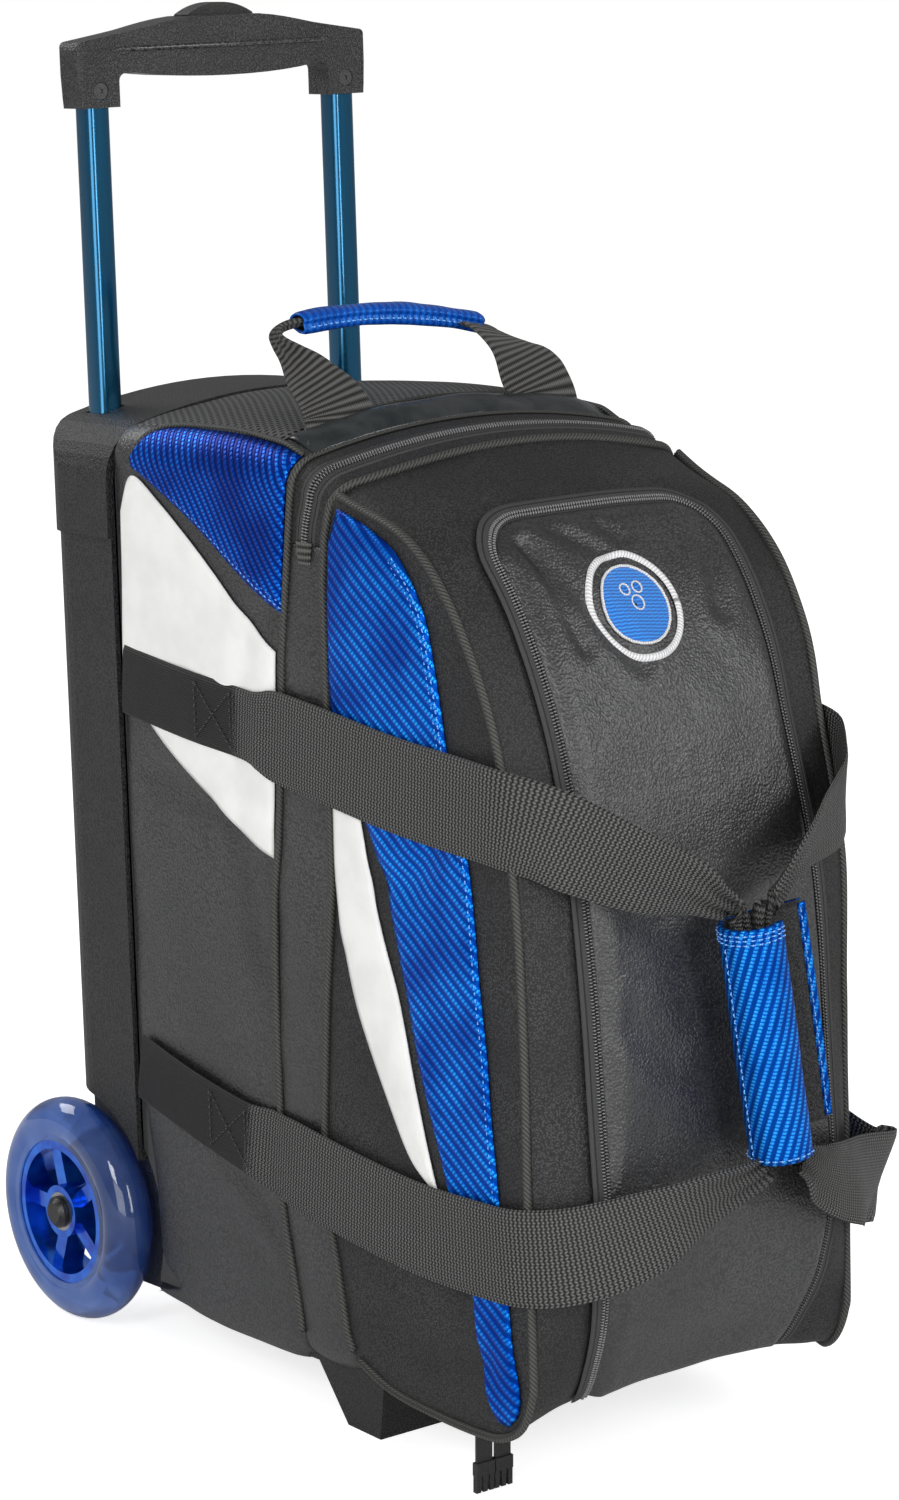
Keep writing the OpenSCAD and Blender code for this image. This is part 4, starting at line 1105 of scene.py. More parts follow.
def front_side(hand, y, z, lift):
    """Points of a side in front of the band."""
    out = side_lift(y, z)
    points = np.stack([hand * (HALF + out), y, z], -1)
    shake = ripple(points.reshape(-1, 3), *SIDE_RIPPLE).reshape(y.shape) * ease(out, 0.3, 2.0)
    points[..., 0] += hand * (shake + lift)
    return points


def ruled(first, second, rows, across):
    """Points on the straight lines between two curves."""
    a, b = smooth_line(first, rows), smooth_line(second, rows)
    return a[:, None] + (b - a)[:, None] * np.linspace(0, 1, across)[None, :, None]


def panel(name, hand, surface, first, second, maker, node, rows=70, across=22, height=1.5):
    """A sewn-on panel between two edge lines; its edges are drawn down by their stitches."""
    flat = ruled(first, second, rows, across)
    u = np.minimum(np.arange(across), np.arange(across)[::-1])[None, :] / 2.0
    v = np.minimum(np.arange(rows), np.arange(rows)[::-1])[:, None] / 2.0
    lift = 0.5 + (height - 0.5) * np.minimum(np.minimum(u, v), 1) ** 0.5
    points = surface(hand, flat[..., 0], flat[..., 1], lift)
    facing = np.cross(points[5, 5] - points[4, 5], points[5, 6] - points[5, 5])[0]
    piece = sheet_of(name, points, maker, flat, flip=bool(facing * hand < 0))
    thicken(piece, PANEL_CLOTH)
    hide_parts(node)
    return piece


# Both edges of each panel, as (y, z)
BLUE_REAR = ([(-23, 507), (40, 511), (97, 510), (117, 495)],
             [(-13, 425), (19, 442), (62, 467), (98, 484), (116, 492)])
WHITE_REAR = ([(-8, 404), (20, 423), (54, 449), (90, 473), (116, 486), (128, 466)],
              [(1, 294), (28, 306), (67, 327), (108, 353), (134, 376)])
BLUE_FRONT = ([(-66, 483), (-90, 476), (-113, 465), (-131, 444), (-141, 420), (-151, 371), (-165, 318),
               (-172, 255), (-177, 198), (-183, 130), (-188, 80), (-192.5, 52), (-190, 38), (-182, 30)],
              [(-58, 467), (-54, 425), (-54, 384), (-65, 352), (-88, 318), (-101, 288), (-111, 248),
               (-122, 206), (-136, 164), (-148, 130), (-158, 101), (-163, 70), (-168.5, 45), (-176, 31)])
WHITE_FRONT = ([(-53, 345), (-53, 325), (-54, 286), (-65, 238), (-87, 192), (-110, 156), (-132, 142)],
               [(-74, 345), (-79, 325), (-92, 276), (-106, 237), (-120, 187), (-133.5, 141)])


def side_panels(hand, side):
    """The two blue and two white panels of one side."""
    piece = panel(f"blue_rear_{side}", hand, rear_side, *BLUE_REAR, blue_rear, f"blue_panel_rear_{side}")
    on(piece, "bag")
    piece = panel(f"white_rear_{side}", hand, rear_side, *WHITE_REAR, white_vinyl,
                  f"white_panel_rear_{side}", 60, 40)
    on(piece, "bag")
    piece = panel(f"blue_front_{side}", hand, front_side, *BLUE_FRONT, blue_front,
                  f"blue_panel_front_{side}", 110, 22, 1.8)
    if hand < 0:
        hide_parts("lid_blue_panels")
    on_lid(piece)
    piece = panel(f"white_front_{side}", hand, front_side, *WHITE_FRONT, white_vinyl,
                  f"white_panel_front_{side}", 60, 12)
    on_lid(piece)


for hand, side in SIDES.items():
    side_panels(hand, side)

# One stitch's rings: how thick each is and how high it stands
STITCH_RINGS = ((0.35, -0.25), (1, 0.25), (1, 0.25), (0.35, -0.25))
STITCH_SIDES = 5


def stitches(name, line, outward, maker, length=2.6, gap=1.1, radius=0.42):
    """A row of stitches laid on a surface along a line."""
    line = np.asarray(line, float)
    rings = len(STITCH_RINGS)
    count = int(run_length(line)[-1] / (length + gap))
    fine = even(line, count * rings + 1)
    lift = even(np.asarray(outward, float), count * rings + 1)
    verts, faces, laid = [], [], []
    for k in range(count):
        here = fine[rings * k:rings * (k + 1)]
        way = unit(here[-1] - here[0])
        up = lift[rings * k]
        side = np.cross(way, up)
        start = len(verts)
        for j, (point, (thick, high)) in enumerate(zip(here, STITCH_RINGS)):
            for turn in range(STITCH_SIDES):
                a = turn * 2 * math.pi / STITCH_SIDES
                around = math.cos(a) * side + math.sin(a) * up
                verts.append(point + radius * thick * around + up * high)
                laid.append((k * 3.0 + j, turn * 0.6))
        faces += [[start + f for f in face] for face in grid_faces(rings, STITCH_SIDES, True)]
        faces.append([start + STITCH_SIDES - 1 - f for f in range(STITCH_SIDES)])
        faces.append([start + STITCH_SIDES * (rings - 1) + f for f in range(STITCH_SIDES)])
    return make(name, verts, faces, maker, laid)


def side_stitches(name, hand, surface, flat, body, lift):
    """Blue stitches on a side, along a line of (y, z)."""
    flat = smooth_line(flat, 160)
    points = surface(hand, flat[:, 0], flat[:, 1], np.full(len(flat), lift))
    outward = np.tile([float(hand), 0, 0], (len(flat), 1))
    piece = stitches(name, points, outward, blue_thread)
    return on_lid(piece) if body == "lid" else on(piece, body)


def moved(line, by):
    """A line shifted sideways."""
    line = np.asarray(line, float)
    way = unit(np.gradient(line, axis=0))
    return line + by * np.column_stack([-way[:, 1], way[:, 0]])


for hand, side in SIDES.items():
    for row, shift in (("a", 2.6), ("b", 5.4)):
        edge = moved(BLUE_FRONT[0][2:], shift)[:-1]
        side_stitches(f"front_stitch_{row}_{side}", hand, front_side, edge, "lid", 2.0)
    for row, shift in (("a", 2.4), ("b", 5.0)):
        edge = moved(BLUE_REAR[1], shift)
        side_stitches(f"rear_stitch_{row}_{side}", hand, rear_side, edge, "bag", 1.7)


# Zips: thickness of the tapes, and how far each coil's middle is from the zip's middle
MAIN_TAPE, POCKET_TAPE = 0.7, 0.6
HALF_COIL, HALF_POCKET_COIL = 1.25, 1.15


def way_along(line):
    """Direction of a line at each of its points."""
    return unit(np.gradient(line, axis=0))


def tape_strip(name, line, outward, low, high, lift=1.2, across=5):
    """A strip of zip tape beside a line, from one offset to another."""
    sideways = unit(np.cross(way_along(line), outward))
    shares = np.linspace(low, high, across)
    rows = [line + sideways * s + outward * (lift - 0.35 * (abs(s) > 0.8 * max(abs(low), abs(high))))
            for s in shares]
    laid = np.stack([np.stack([run_length(line), np.full(len(line), s)], -1) for s in shares])
    return sheet_of(name, rows, tape, laid, flip=True)


def coil(name, line, outward, offset, lift=1.7, pitch=1.7, radius=1.15):
    """A coil of zip teeth: a cord that swells at every tooth."""
    sideways = unit(np.cross(way_along(line), outward))
    path = line + sideways * offset + outward * lift
    count = int(run_length(path)[-1] / pitch) * 4 + 1
    beat = np.array([1.0, 1.0, 0.62, 0.62])
    return tube(name, even(path, count), radius * np.resize(beat, count), coil_nylon, sides=6)


def zip_out(first, second):
    """Outward directions of the strip between two loops."""
    out = unit(np.cross(way_along(first), second - first))
    return out * np.sign((out * top_way).sum(1))[:, None]


def main_zip():
    """Two tapes, each with its coil, over the top of the bag."""
    rear_out = zip_out(zip_top, rear_top)
    lid_out = zip_out(zip_top, band_top)
    top_out = unit(rear_out + lid_out)
    tape_rear = tape_strip("main_zip_tape_rear", zip_top, rear_out, -0.6, -7.5)
    tape_lid = tape_strip("main_zip_tape_lid", zip_top, lid_out, 0.6, 7.5)
    for piece, node in ((tape_rear, "zip_tape_body"), (tape_lid, "zip_tape_lid")):
        thicken(piece, MAIN_TAPE)
        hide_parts(node)
    on(tape_rear, "bag")
    on_lid(tape_lid)
    on(coil("main_zip_coil_rear", zip_top, top_out, -HALF_COIL), "bag")
    on_lid(coil("main_zip_coil_lid", zip_top, top_out, HALF_COIL))


main_zip()


def end_tab(name, hand):
    """The bound end of the main zip: a small sewn-down tab."""
    u = np.linspace(-1, 1, 9)
    rows = []
    for b in np.linspace(0, 1, 11):
        width = 7.5 * (1 - 0.25 * b)
        swell = 1.2 * np.sin(math.pi * min(0.15 + b * 0.8, 1)) * (1 - np.abs(u) ** 4)
        rows.append(np.column_stack([hand * (HALF + 2.6 + swell), ZIP_END[1] - 0.5 + width * u * 0.9,
                                     np.full(len(u), CUT_Z + 2 - 12 * b)]))
    piece = sheet_of(name, rows, ribbed, flip=hand > 0)
    thicken(piece, 1.2)
    return on(piece, "bag")


for hand, side in SIDES.items():
    end_tab(f"zip_end_tab_{side}", hand)

# Pocket: how far its panel stands out, how many points its outline has, and its leather's thickness
PANEL = 8.0
OUTLINE_COUNT = 420
POCKET_LEATHER = 1.8


def pocket_outline():
    """The zip's way round the pocket on the front, as (x, s)."""
    low = TOE_S + 4
    side = [(-70, low), (-78, low + 55), (-POCKET_HALF, low + 110),
            (-POCKET_HALF, POCKET_TOP - POCKET_CORNER)]
    turn = np.linspace(math.pi, math.pi / 2, 10)[1:]
    corner = np.column_stack([POCKET_CORNER - POCKET_HALF + POCKET_CORNER * np.cos(turn),
                              POCKET_TOP - POCKET_CORNER + POCKET_CORNER * np.sin(turn)])
    left = np.vstack([even(smooth_line(side, 60), 60), corner])
    return even(np.vstack([left, left[::-1] * [-1, 1]]), OUTLINE_COUNT)


OUTLINE = pocket_outline()
POCKET_FOLDS = [([(-66, POCKET_TOP - 12), (-40, POCKET_TOP - 60), (-20, POCKET_TOP - 90)], 7, 2.0),
                ([(-60, POCKET_TOP - 22), (-52, POCKET_TOP - 80)], 5, 1.6),
                ([(-50, POCKET_TOP - 6), (-14, POCKET_TOP - 34)], 5, 1.5),
                ([(-20, POCKET_TOP - 5), (0, POCKET_TOP - 26)], 5, 1.0),
                ([(64, POCKET_TOP - 14), (46, POCKET_TOP - 70)], 7, 1.5),
                ([(-62, 330), (-30, 300), (10, 292)], 10, 1.3), ([(60, 250), (20, 262)], 9, 1.2),
                ([(-50, 200), (0, 210), (50, 196)], 12, 1.3)]


def pocket_lift(x, s):
    """How far the pocket's panel stands above the front."""
    flat = np.column_stack([np.ravel(x), np.ravel(s)])
    room = np.minimum(away_from(flat, OUTLINE), np.maximum(flat[:, 1] - TOE_S + 6, 0))
    rise = np.clip(room / 15, 0, 1)
    fullness = 0.75 + 0.25 * ease(-flat[:, 1], -POCKET_TOP, -POCKET_TOP + 120)
    lift = -0.5 + PANEL * (1 - (1 - rise) ** 2.2) * fullness
    for line, width, depth in POCKET_FOLDS:
        lift = lift + crease(flat, line, width, depth) * ease(room, 2, 12)
    swell = front_swell(flat[:, 0], flat[:, 1])
    return np.minimum(lift, 21.0 - swell).reshape(np.shape(x))


def pocket():
    """The padded leather panel inside the pocket's zip."""
    corner = POCKET_TOP - POCKET_CORNER
    crowd = 1 - np.linspace(0, 1, 20)[1:] ** 0.8
    ss = np.concatenate([np.linspace(TOE_S + 4, corner, 130), POCKET_TOP - POCKET_CORNER * crowd])
    left = OUTLINE[:OUTLINE_COUNT // 2]
    half = np.interp(ss, left[:, 1], -left[:, 0])
    rounded = ss > corner
    arc = np.maximum(POCKET_CORNER**2 - (ss[rounded] - corner) ** 2, 0)
    half[rounded] = POCKET_HALF - POCKET_CORNER + np.sqrt(arc)
    u = np.linspace(-1, 1, 71)
    u = np.sign(u) * (1 - (1 - np.abs(u)) ** 1.15)
    x = half[:, None] * u[None]
    s = np.repeat(ss[:, None], len(u), 1)
    lift = pocket_lift(x, s)
    points = front(x, s, lift)
    facing = front_out(x.ravel(), s.ravel()).reshape(points.shape)
    soft = ripple(points.reshape(-1, 3), 34, 1.0, 21).reshape(x.shape) * ease(lift, 1, 6)
    points = points + facing * soft[..., None]
    piece = sheet_of("pocket_panel", points, leather, np.stack([s, x], -1))
    thicken(piece, POCKET_LEATHER, lining)
    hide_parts("pocket_lower", "pocket_upper")
    return on_lid(piece)


pocket()


def pocket_zip():
    """Two tapes and two coils round the pocket."""
    line = front(OUTLINE[:, 0], OUTLINE[:, 1], 1.2)
    facing = front_out(OUTLINE[:, 0], OUTLINE[:, 1])
    for low, high, tag in ((-0.6, -8.0, "outer"), (0.6, 6.0, "inner")):
        piece = tape_strip(f"pocket_zip_tape_{tag}", line, facing, low, high, 0.6)
        thicken(piece, POCKET_TAPE)
        on_lid(piece)
    on_lid(coil("pocket_zip_coil_outer", line, facing, -HALF_POCKET_COIL, 1.2))
    on_lid(coil("pocket_zip_coil_inner", line, facing, HALF_POCKET_COIL, 1.2))


pocket_zip()

# Badge: a stitched ring with a ball that has three finger holes
BADGE = np.array([-11.0, POCKET_TOP - 62.0])
BADGE_SIZE = 1.25
BALL_R = 16.3
FINGER_HOLES = (((-3.2, 6.2), 2.1), ((3.4, 6.6), 2.1), ((0.8, 0.4), 2.6))
ROUND = 96


def badge_points(flat, lift):
    """Points of the badge on the pocket's panel."""
    x, s = BADGE[0] + flat[:, 0] * BADGE_SIZE, BADGE[1] + flat[:, 1] * BADGE_SIZE
    return front(x, s, pocket_lift(x, s) + lift)


def badge_cord(name, rim, lift, radius):
    """A round cord laid as a closed ring on the badge."""
    line = badge_points(np.vstack([rim, rim[:1]]), lift)
    on_lid(tube(name, line, radius, white_thread, sides=6, ends=False))


def badge():
    """The stitched ring, and the ball with its holes and edge."""
    turn = np.linspace(0, 2 * math.pi, ROUND + 1)[:-1]
    ring = np.column_stack([np.cos(turn), np.sin(turn)])
    rows, laid = [], []
    for radius, high in ((20.3, 0.2), (20.8, 1.3), (21.8, 1.6), (22.8, 1.3), (23.3, 0.2)):
        rows.append(badge_points(ring * radius, high))
        laid.append(np.column_stack([turn * 22, np.full(ROUND, radius)]))
    outline = sheet_of("badge_ring", rows, white_thread, laid, closed=True, flip=True)
    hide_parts("badge")
    on_lid(outline)
    rows, laid = [], []
    for radius in np.linspace(0.6, 16, 30):
        high = 0.3 + 1.3 * math.sqrt(max(1 - (radius / BALL_R) ** 2, 0))
        flat = ring * radius
        holes = np.zeros(ROUND)
        for spot, size in FINGER_HOLES:
            gap = np.linalg.norm(flat - spot, axis=1)
            holes = np.maximum(holes, 1 - ease(gap, size * 0.75, size * 1.15))
        rows.append(badge_points(flat, high - 1.2 * holes))
        laid.append(flat)
    on_lid(sheet_of("badge_ball", rows, badge_thread, laid, closed=True, flip=True))
    for k, (spot, size) in enumerate(FINGER_HOLES):
        badge_cord(f"badge_hole_{k}", spot + ring[::6] * size * 1.12, 1.45, 0.5)
    badge_cord("badge_ball_edge", ring[::4] * BALL_R, 0.7, 0.8)


badge()


# Webbing: its thickness and half its width where it lies flat
STRAP = 2.4
HALF_STRAP = 25


def ribbon(name, stations, maker, outward, count=130, wave=2.5, columns=15):
    """Webbing along stations of (centre, direction across, width, thickness).
    Where it is gathered it is thicker than one layer and lies in folds."""
    table = [[*centre, *(20 * unit(np.array(across, float))), width, thick]
             for centre, across, width, thick in stations]
    line = smooth_line(table, count)
    centre, width, thick = line[:, :3], line[:, 6], line[:, 7]
    way = way_along(centre)
    across = unit(line[:, 3:6] - way * (line[:, 3:6] * way).sum(1)[:, None])
    out = unit(np.cross(across, way))
    if (out[len(out) // 4] * outward).sum() < 0:
        out = -out
        across = -across
    u = np.linspace(-1, 1, columns)
    body = np.minimum(thick, STRAP)[:, None] / 2 * (1 - np.abs(u) ** 8)[None] ** 0.5
    fold = np.maximum(thick - STRAP, 0)[:, None] / 2 * np.cos(wave * math.pi * u)[None]
    side = centre[:, None] + across[:, None] * (width[:, None] / 2 * u[None])[..., None]
    top = side + out[:, None] * (fold + body)[..., None]
    under = side + out[:, None] * (fold - body)[..., None]
    rings = np.concatenate([top, under[:, ::-1]], 1)
    along = np.repeat(run_length(centre)[:, None], 2 * columns, 1)
    place_across = np.concatenate([u, u[::-1]])[None] * HALF_STRAP + np.zeros((count, 1))
    return sheet_of(name, rings, maker, np.stack([along, place_across], -1), closed=True)


def leg_stations(hand, end_x, high):
    """A carry strap's upper or lower leg, from its sewn end on the rear half to the grip.
    Each row: x, y, z of the middle, the direction across, the width and the thickness.
    The right strap hangs a little looser, by the parts that are multiplied by right."""
    right = 1 if hand > 0 else 0
    if high:
        table = [(118.6, 130, 374.5, 0, 0, 1, 38, 2), (118.9, 70, 368, 0, 0.1, 1, 38, 2),
                 (119.0, 22, 363.5, 0, 0.1, 1, 38, 2.2), (119.7, 6, 361.5, 0, 0.1, 1, 42, 2.4),
                 (120.0, -10, 360, 0, 0.1, 1, 49, 2.4), (121.2, -50, 356, 0, 0.1, 1, 50, 2.4),
                 (121.8, -110, 349, 0, 0.1, 1, 50, 2.4), (121.6, -165, 345, 0, 0.08, 1, 50, 2.4),
                 (119.4, -194 - right, 342, 0.05, 0, 1, 50 - right, 2.4),
                 (107, -212 - right, 336 - right, 0.15, 0, 1, 49 - 2 * right, 2.4),
                 (90, -224 - right, 326 - 2 * right, 0.25, 0, 1, 47 - 4 * right, 2.4),
                 (66 - 10 * right, -237, 313 + 4 * right, 0.35, -0.1, 1, 42 - 6 * right, 2.8),
                 (44 - 14 * right, -246, 304 + 4 * right, 0.4, -0.2, 1, 33 - 6 * right, 3.6),
                 (end_x + 15, -250, 296, 0.45, -0.2, 1, 20, 5.5),
                 (end_x + 4, -252, 290, 0.8, -0.1, 0.7, 14, 7), (end_x, -252, 281, 1, 0, 0, 12, 7),
                 (end_x + hand * 3, -252, 262, 1, 0, 0, 12, 7),
                 (end_x + hand * 9, -252, 222, 1, 0, 0, 12, 7),
                 (end_x + hand * 15.4, -252, 178, 1, 0, 0, 12, 7)]
    else:
        table = [(118.6, 130, 158.5, 0, 0, 1, 38, 2), (118.9, 75, 147, 0, 0.15, 1, 38, 2),
                 (119.0, 29, 138, 0, 0.15, 1, 40, 2.2), (119.7, 8, 135, 0, 0.12, 1, 45, 2.4),
                 (120.0, -12, 132, 0, 0.1, 1, 49, 2.4), (121.4, -60, 126, 0, 0.1, 1, 50, 2.4),
                 (122.4, -120, 121, 0, 0.05, 1, 50, 2.4),
                 (122.4 + 3 * right, -172 + 12 * right, 121 + 8 * right, 0, -0.45 * right, 1, 50, 2.4),
                 (120.4 + 8 * right, -199 + 10 * right, 122 - 6 * right, 0, -0.62 * right, 1,
                  50 + 3 * right, 2.4),
                 (108 + 12 * right, -218 + 14 * right, 124 - 7 * right, -0.1, -0.5 * right, 1,
                  49 + 3 * right, 2.4),
                 (88, -231, 128, -0.2, 0, 1, 47, 2.4), (64, -241, 135, -0.35, -0.1, 1, 42, 2.8),
                 (42, -246, 143, -0.4, -0.2, 1, 33, 3.6), (end_x + 15, -250, 151, -0.45, -0.2, 1, 20, 5.5),
                 (end_x + 4, -252, 157, -0.8, -0.1, 0.7, 14, 7), (end_x, -252, 166, -1, 0, 0, 12, 7),
                 (end_x - 1, -252, 182, -1, 0, 0, 12, 7)]
    out = []
    for x, y, z, a, b, c, w, t in table:
        if y > 0:
            heights = np.array([[z - w / 3], [z], [z + w / 3]])
            seat = rear_side(1, np.full((3, 1), float(y)), heights, 1.5)
            x = seat[..., 0].max() + 1.6
        if right and not high:
            x += float(slack(x, y, z)) * ease(x, 60, 110)
        out.append(((hand * x, y, z), (hand * a, b, c), w, t))
    return out


# Grip wrap: its middle, its tilt, its length and radius, its thickness and the points round its barrel
WRAP_MID = np.array([0, -251.0, 222.0])
WRAP_TILT = math.radians(8.5)
WRAP_LONG, WRAP_ROUND = 124.0, 17.0
WRAP_END = WRAP_LONG / 2
WRAP_CLOTH = 2.6
ROUND_PART = 44


def in_wrap(local):
    """Points of the grip wrap's own place, whose length runs along z, as points of the bag."""
    local = np.asarray(local, float)
    c, s = math.cos(WRAP_TILT), math.sin(WRAP_TILT)
    x, y, z = local[..., 0], local[..., 1], local[..., 2]
    return np.stack([x * c - z * s, y, x * s + z * c], -1) + WRAP_MID


# The straps' way into the wrap's ends, and the middle of their bundle
LEAN_X = WRAP_END * math.sin(WRAP_TILT)
BUNDLE = 6.7

# Stitched square with a cross: the ends of its lines, as y and height above the strap's middle
BOX = ([(26, -16), (26, 16)], [(29, -16), (29, 16)], [(60, -16), (60, 16)], [(29, -15), (60, 15)],
       [(29, 15), (60, -15)])


def carry_strap(hand, side):
    """One carry strap, from its upper sewn end through the wrap to its lower one."""
    legs = []
    for high in (True, False):
        end_x = BUNDLE + (-hand if high else hand) * LEAN_X
        stations = leg_stations(hand, end_x, high)
        legs.append(ribbon(f"leg_{side}_{high}", stations, webbing, np.array([hand, 0, 0])))
    strap = joined(f"strap_{side}", legs)
    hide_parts(f"carry_strap_{side}", f"strap_anchors_{side}")
    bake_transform(strap)


def stitched_box(hand, side, tag, high):
    """The stitches that hold a strap's end."""
    seat = smooth_line([station[0] for station in leg_stations(hand, 0, high)[:4]], 60)[::-1]
    outward = np.tile([float(hand), 0, 0], (40, 1))
    parts = []
    for k, ends in enumerate(BOX):
        y, z = even(ends, 40).T
        out = np.interp(y, seat[:, 1], np.abs(seat[:, 0])) + 1.35
        line = np.column_stack([hand * out, y, np.interp(y, seat[:, 1], seat[:, 2]) + z])
        parts.append(stitches(f"box_{side}_{tag}_{k}", line, outward, thread))
    on(joined(f"stitched_box_{side}_{tag}", parts), "bag")


for hand, side in SIDES.items():
    carry_strap(hand, side)
    stitched_box(hand, side, "upper", True)
    stitched_box(hand, side, "lower", False)


def wrap_profile(radius):
    """Across the grip wrap: round from its front edge to its back, then out along the lip."""
    turn = np.radians(np.linspace(298, 92, ROUND_PART))
    round_part = np.column_stack([radius * np.cos(turn), radius * np.sin(turn)])
    lip = smooth_line([round_part[-1], (13, 14.5), (26, 10), (39, 5.5)], 22)[1:]
    return np.vstack([round_part, lip])


def grip_sleeve():
    """The wrap that holds both straps, closed over itself by its lip."""
    rows, laid = [], []
    for z in np.linspace(-WRAP_END, WRAP_END, 46):
        profile = wrap_profile(WRAP_ROUND)
        around = run_length(profile)
        out = unit(profile)
        profile = profile + out * (0.5 * math.cos(z / WRAP_LONG * math.pi) - 0.5)
        on_lip = ease(around, 52, 66)
        high = z * (1 - 0.07 * on_lip) + on_lip * (2.5 + 2.0 * z / WRAP_LONG)
        points = np.column_stack([profile, high])
        points[:, :2] += out * ripple(points, 26, 0.7, 31)[:, None]
        points[:, 2] = np.clip(points[:, 2], -WRAP_END, WRAP_END + 3)
        rows.append(in_wrap(points))
        laid.append(np.column_stack([np.full(len(profile), z), around]))
    piece = sheet_of("grip_sleeve", rows, blue_wrap, laid, flip=True)
    thicken(piece, WRAP_CLOTH, hook_cloth)
    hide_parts("grip_wrap")
    on(piece, "loop_left")


def wrap_stitches():
    """Rows of stitches round the wrap's ends and along its barrel."""
    barrel = wrap_profile(WRAP_ROUND + 0.2)[:ROUND_PART]
    outward = np.column_stack([unit(barrel), np.zeros(ROUND_PART)])
    for k, z in enumerate((59.5, 57.2, 54.8, -59.5)):
        line = in_wrap(np.column_stack([barrel, np.full(ROUND_PART, z)]))
        on(stitches(f"wrap_hem_{k}", line, outward, blue_thread), "loop_left")
    line = in_wrap(np.column_stack([np.tile(barrel[26], (60, 1)), np.linspace(-58, 53, 60)]))
    on(stitches("wrap_seam", line, np.tile([-1.0, 0.2, 0], (60, 1)), blue_thread), "loop_left")


grip_sleeve()
wrap_stitches()


def lip_strip(name, low, high, lift, maker, wide=7):
    """A strip on the lip's face towards the grip, between two distances from the lip's end."""
    lip = wrap_profile(WRAP_ROUND)[ROUND_PART - 1:]
    back = run_length(lip)[-1] - run_length(lip)
    rows, laid = [], []
    for z in np.linspace(-56, 58, 50):
        rows.append([])
        laid.append([])
        for off in np.linspace(low, high, wide):
            x = np.interp(off, back[::-1], lip[::-1, 0])
            y = np.interp(off, back[::-1], lip[::-1, 1])
            rows[-1].append(in_wrap((x + 0.25 * lift, y - WRAP_CLOTH - lift, z + 1.5)))
            laid[-1].append((z, off))
    piece = sheet_of(name, rows, maker, laid, flip=True)
    thicken(piece, 1.2)
    return on(piece, "loop_left")


lip_strip("hook_strip", 5.5, 24, 1.2, hook_cloth)
lip_strip("lip_edge", -0.8, 4.5, 0.6, blue_wrap, 5)
line = in_wrap([(35.5, 2.4, z) for z in np.linspace(-53, 58, 60)])
on(stitches("lip_stitch", line, np.tile([0.0, -1.0, 0], (60, 1)), blue_thread), "loop_left")


# Top handle
def handle_legs():
    """The top handle's webbing: each leg gathers and turns into the grip."""
    right = [((68, -7, 517), (1, 0, 0), 46, 2.4), ((68, -4, 524), (1, 0, 0), 46, 2.4),
             ((65, 1, 534), (1, 0.03, 0), 47, 2.4), ((61, 8, 544), (0.97, 0.2, -0.1), 46, 2.4),
             ((57, 17, 551), (0.92, 0.4, -0.12), 42, 2.4), ((54, 27, 556), (0.8, 0.6, -0.1), 34, 2.6),
             ((52, 36, 557.5), (0.4, 0.9, 0), 20, 3.4), ((44, 40, 558.5), (0, 1, 0), 12, 4)]
    left = [((-68, -7, 517), (1, 0, 0), 46, 2.4), ((-68, -4, 524), (1, 0, 0), 46, 2.4),
            ((-70, 1, 532), (1, 0, 0.1), 42, 2.4), ((-74, 9, 541), (0.95, -0.15, 0.3), 30, 2.4),
            ((-78, 20, 551), (0.5, -0.6, 0.5), 17, 3), ((-79, 31, 559), (0.1, -0.8, 0.6), 10, 4),
            ((-74, 38, 564), (0, -0.9, 0.4), 10, 5), ((-62, 40, 567), (0, -1, 0.1), 10, 5),
            ((-44, 40, 568), (0, -1, 0), 10, 4)]
    legs = [ribbon("handle_right", right, ribbed, np.array([0, -1, 0.3]), 90),
            ribbon("handle_left", left, ribbed, np.array([0, -1, 0.3]), 90)]
    piece = joined("handle_legs", legs)
    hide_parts("handle_webbing", "handle_anchors")
    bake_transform(piece)


handle_legs()


GRIP_POINTS, GRIP_SIDES, GRIP_END = 60, 32, 61
SEAM_TURN, GROOVE_TURN = 4.25, 3.45


def turned_from(turn, place_at):
    """How far each turn is from one place round the grip, the short way."""
    return (turn - place_at + math.pi) % (2 * math.pi) - math.pi


def handle_grip():
    """A padded sleeve round the handle, with its sewn edge underneath."""
    x = np.linspace(1 - GRIP_END, GRIP_END, GRIP_POINTS)
    bow = 568.5 - 5.5 * (np.abs(x) / GRIP_END) ** 2.0 - 4.5 * x / GRIP_END
    middle = np.column_stack([x, np.full(GRIP_POINTS, 40.0), bow])
    turn = np.linspace(0, 2 * math.pi, GRIP_SIDES + 1)[:-1]
    seam = 2.6 * np.exp(-(turned_from(turn, SEAM_TURN) / 0.5) ** 2)
    groove = 0.9 * np.exp(-(turned_from(turn, GROOVE_TURN) / 0.24) ** 2)
    rows, laid = [], []
    for k, (point, at) in enumerate(zip(middle, x)):
        radius = 4.9 + 0.2 * math.sin(at / 9) + seam - groove
        if k in (0, GRIP_POINTS - 1):
            radius = radius - 0.6
        ring = np.column_stack([np.zeros(GRIP_SIDES), 1.6 * radius * np.cos(turn), radius * np.sin(turn)])
        ring = ring + point
        ring = ring + unit(ring - point) * ripple(ring, 15, 0.5, 41)[:, None]
        rows.append(ring)
        laid.append(np.column_stack([np.full(GRIP_SIDES, at), turn * 8]))
    piece = sheet_of("handle_grip", rows, blue_grip, laid, closed=True)
    thicken(piece, 1.4, lining)
    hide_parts("handle_wrap")
    on(piece, "top_handle")
    line = middle[2:-2] + [0, 9.0 * math.cos(3.75), 5.6 * math.sin(3.75)]
    outward = np.tile([0, -0.85, -0.5], (len(line), 1))
    on(stitches("handle_stitch", line, outward, blue_thread), "top_handle")


handle_grip()


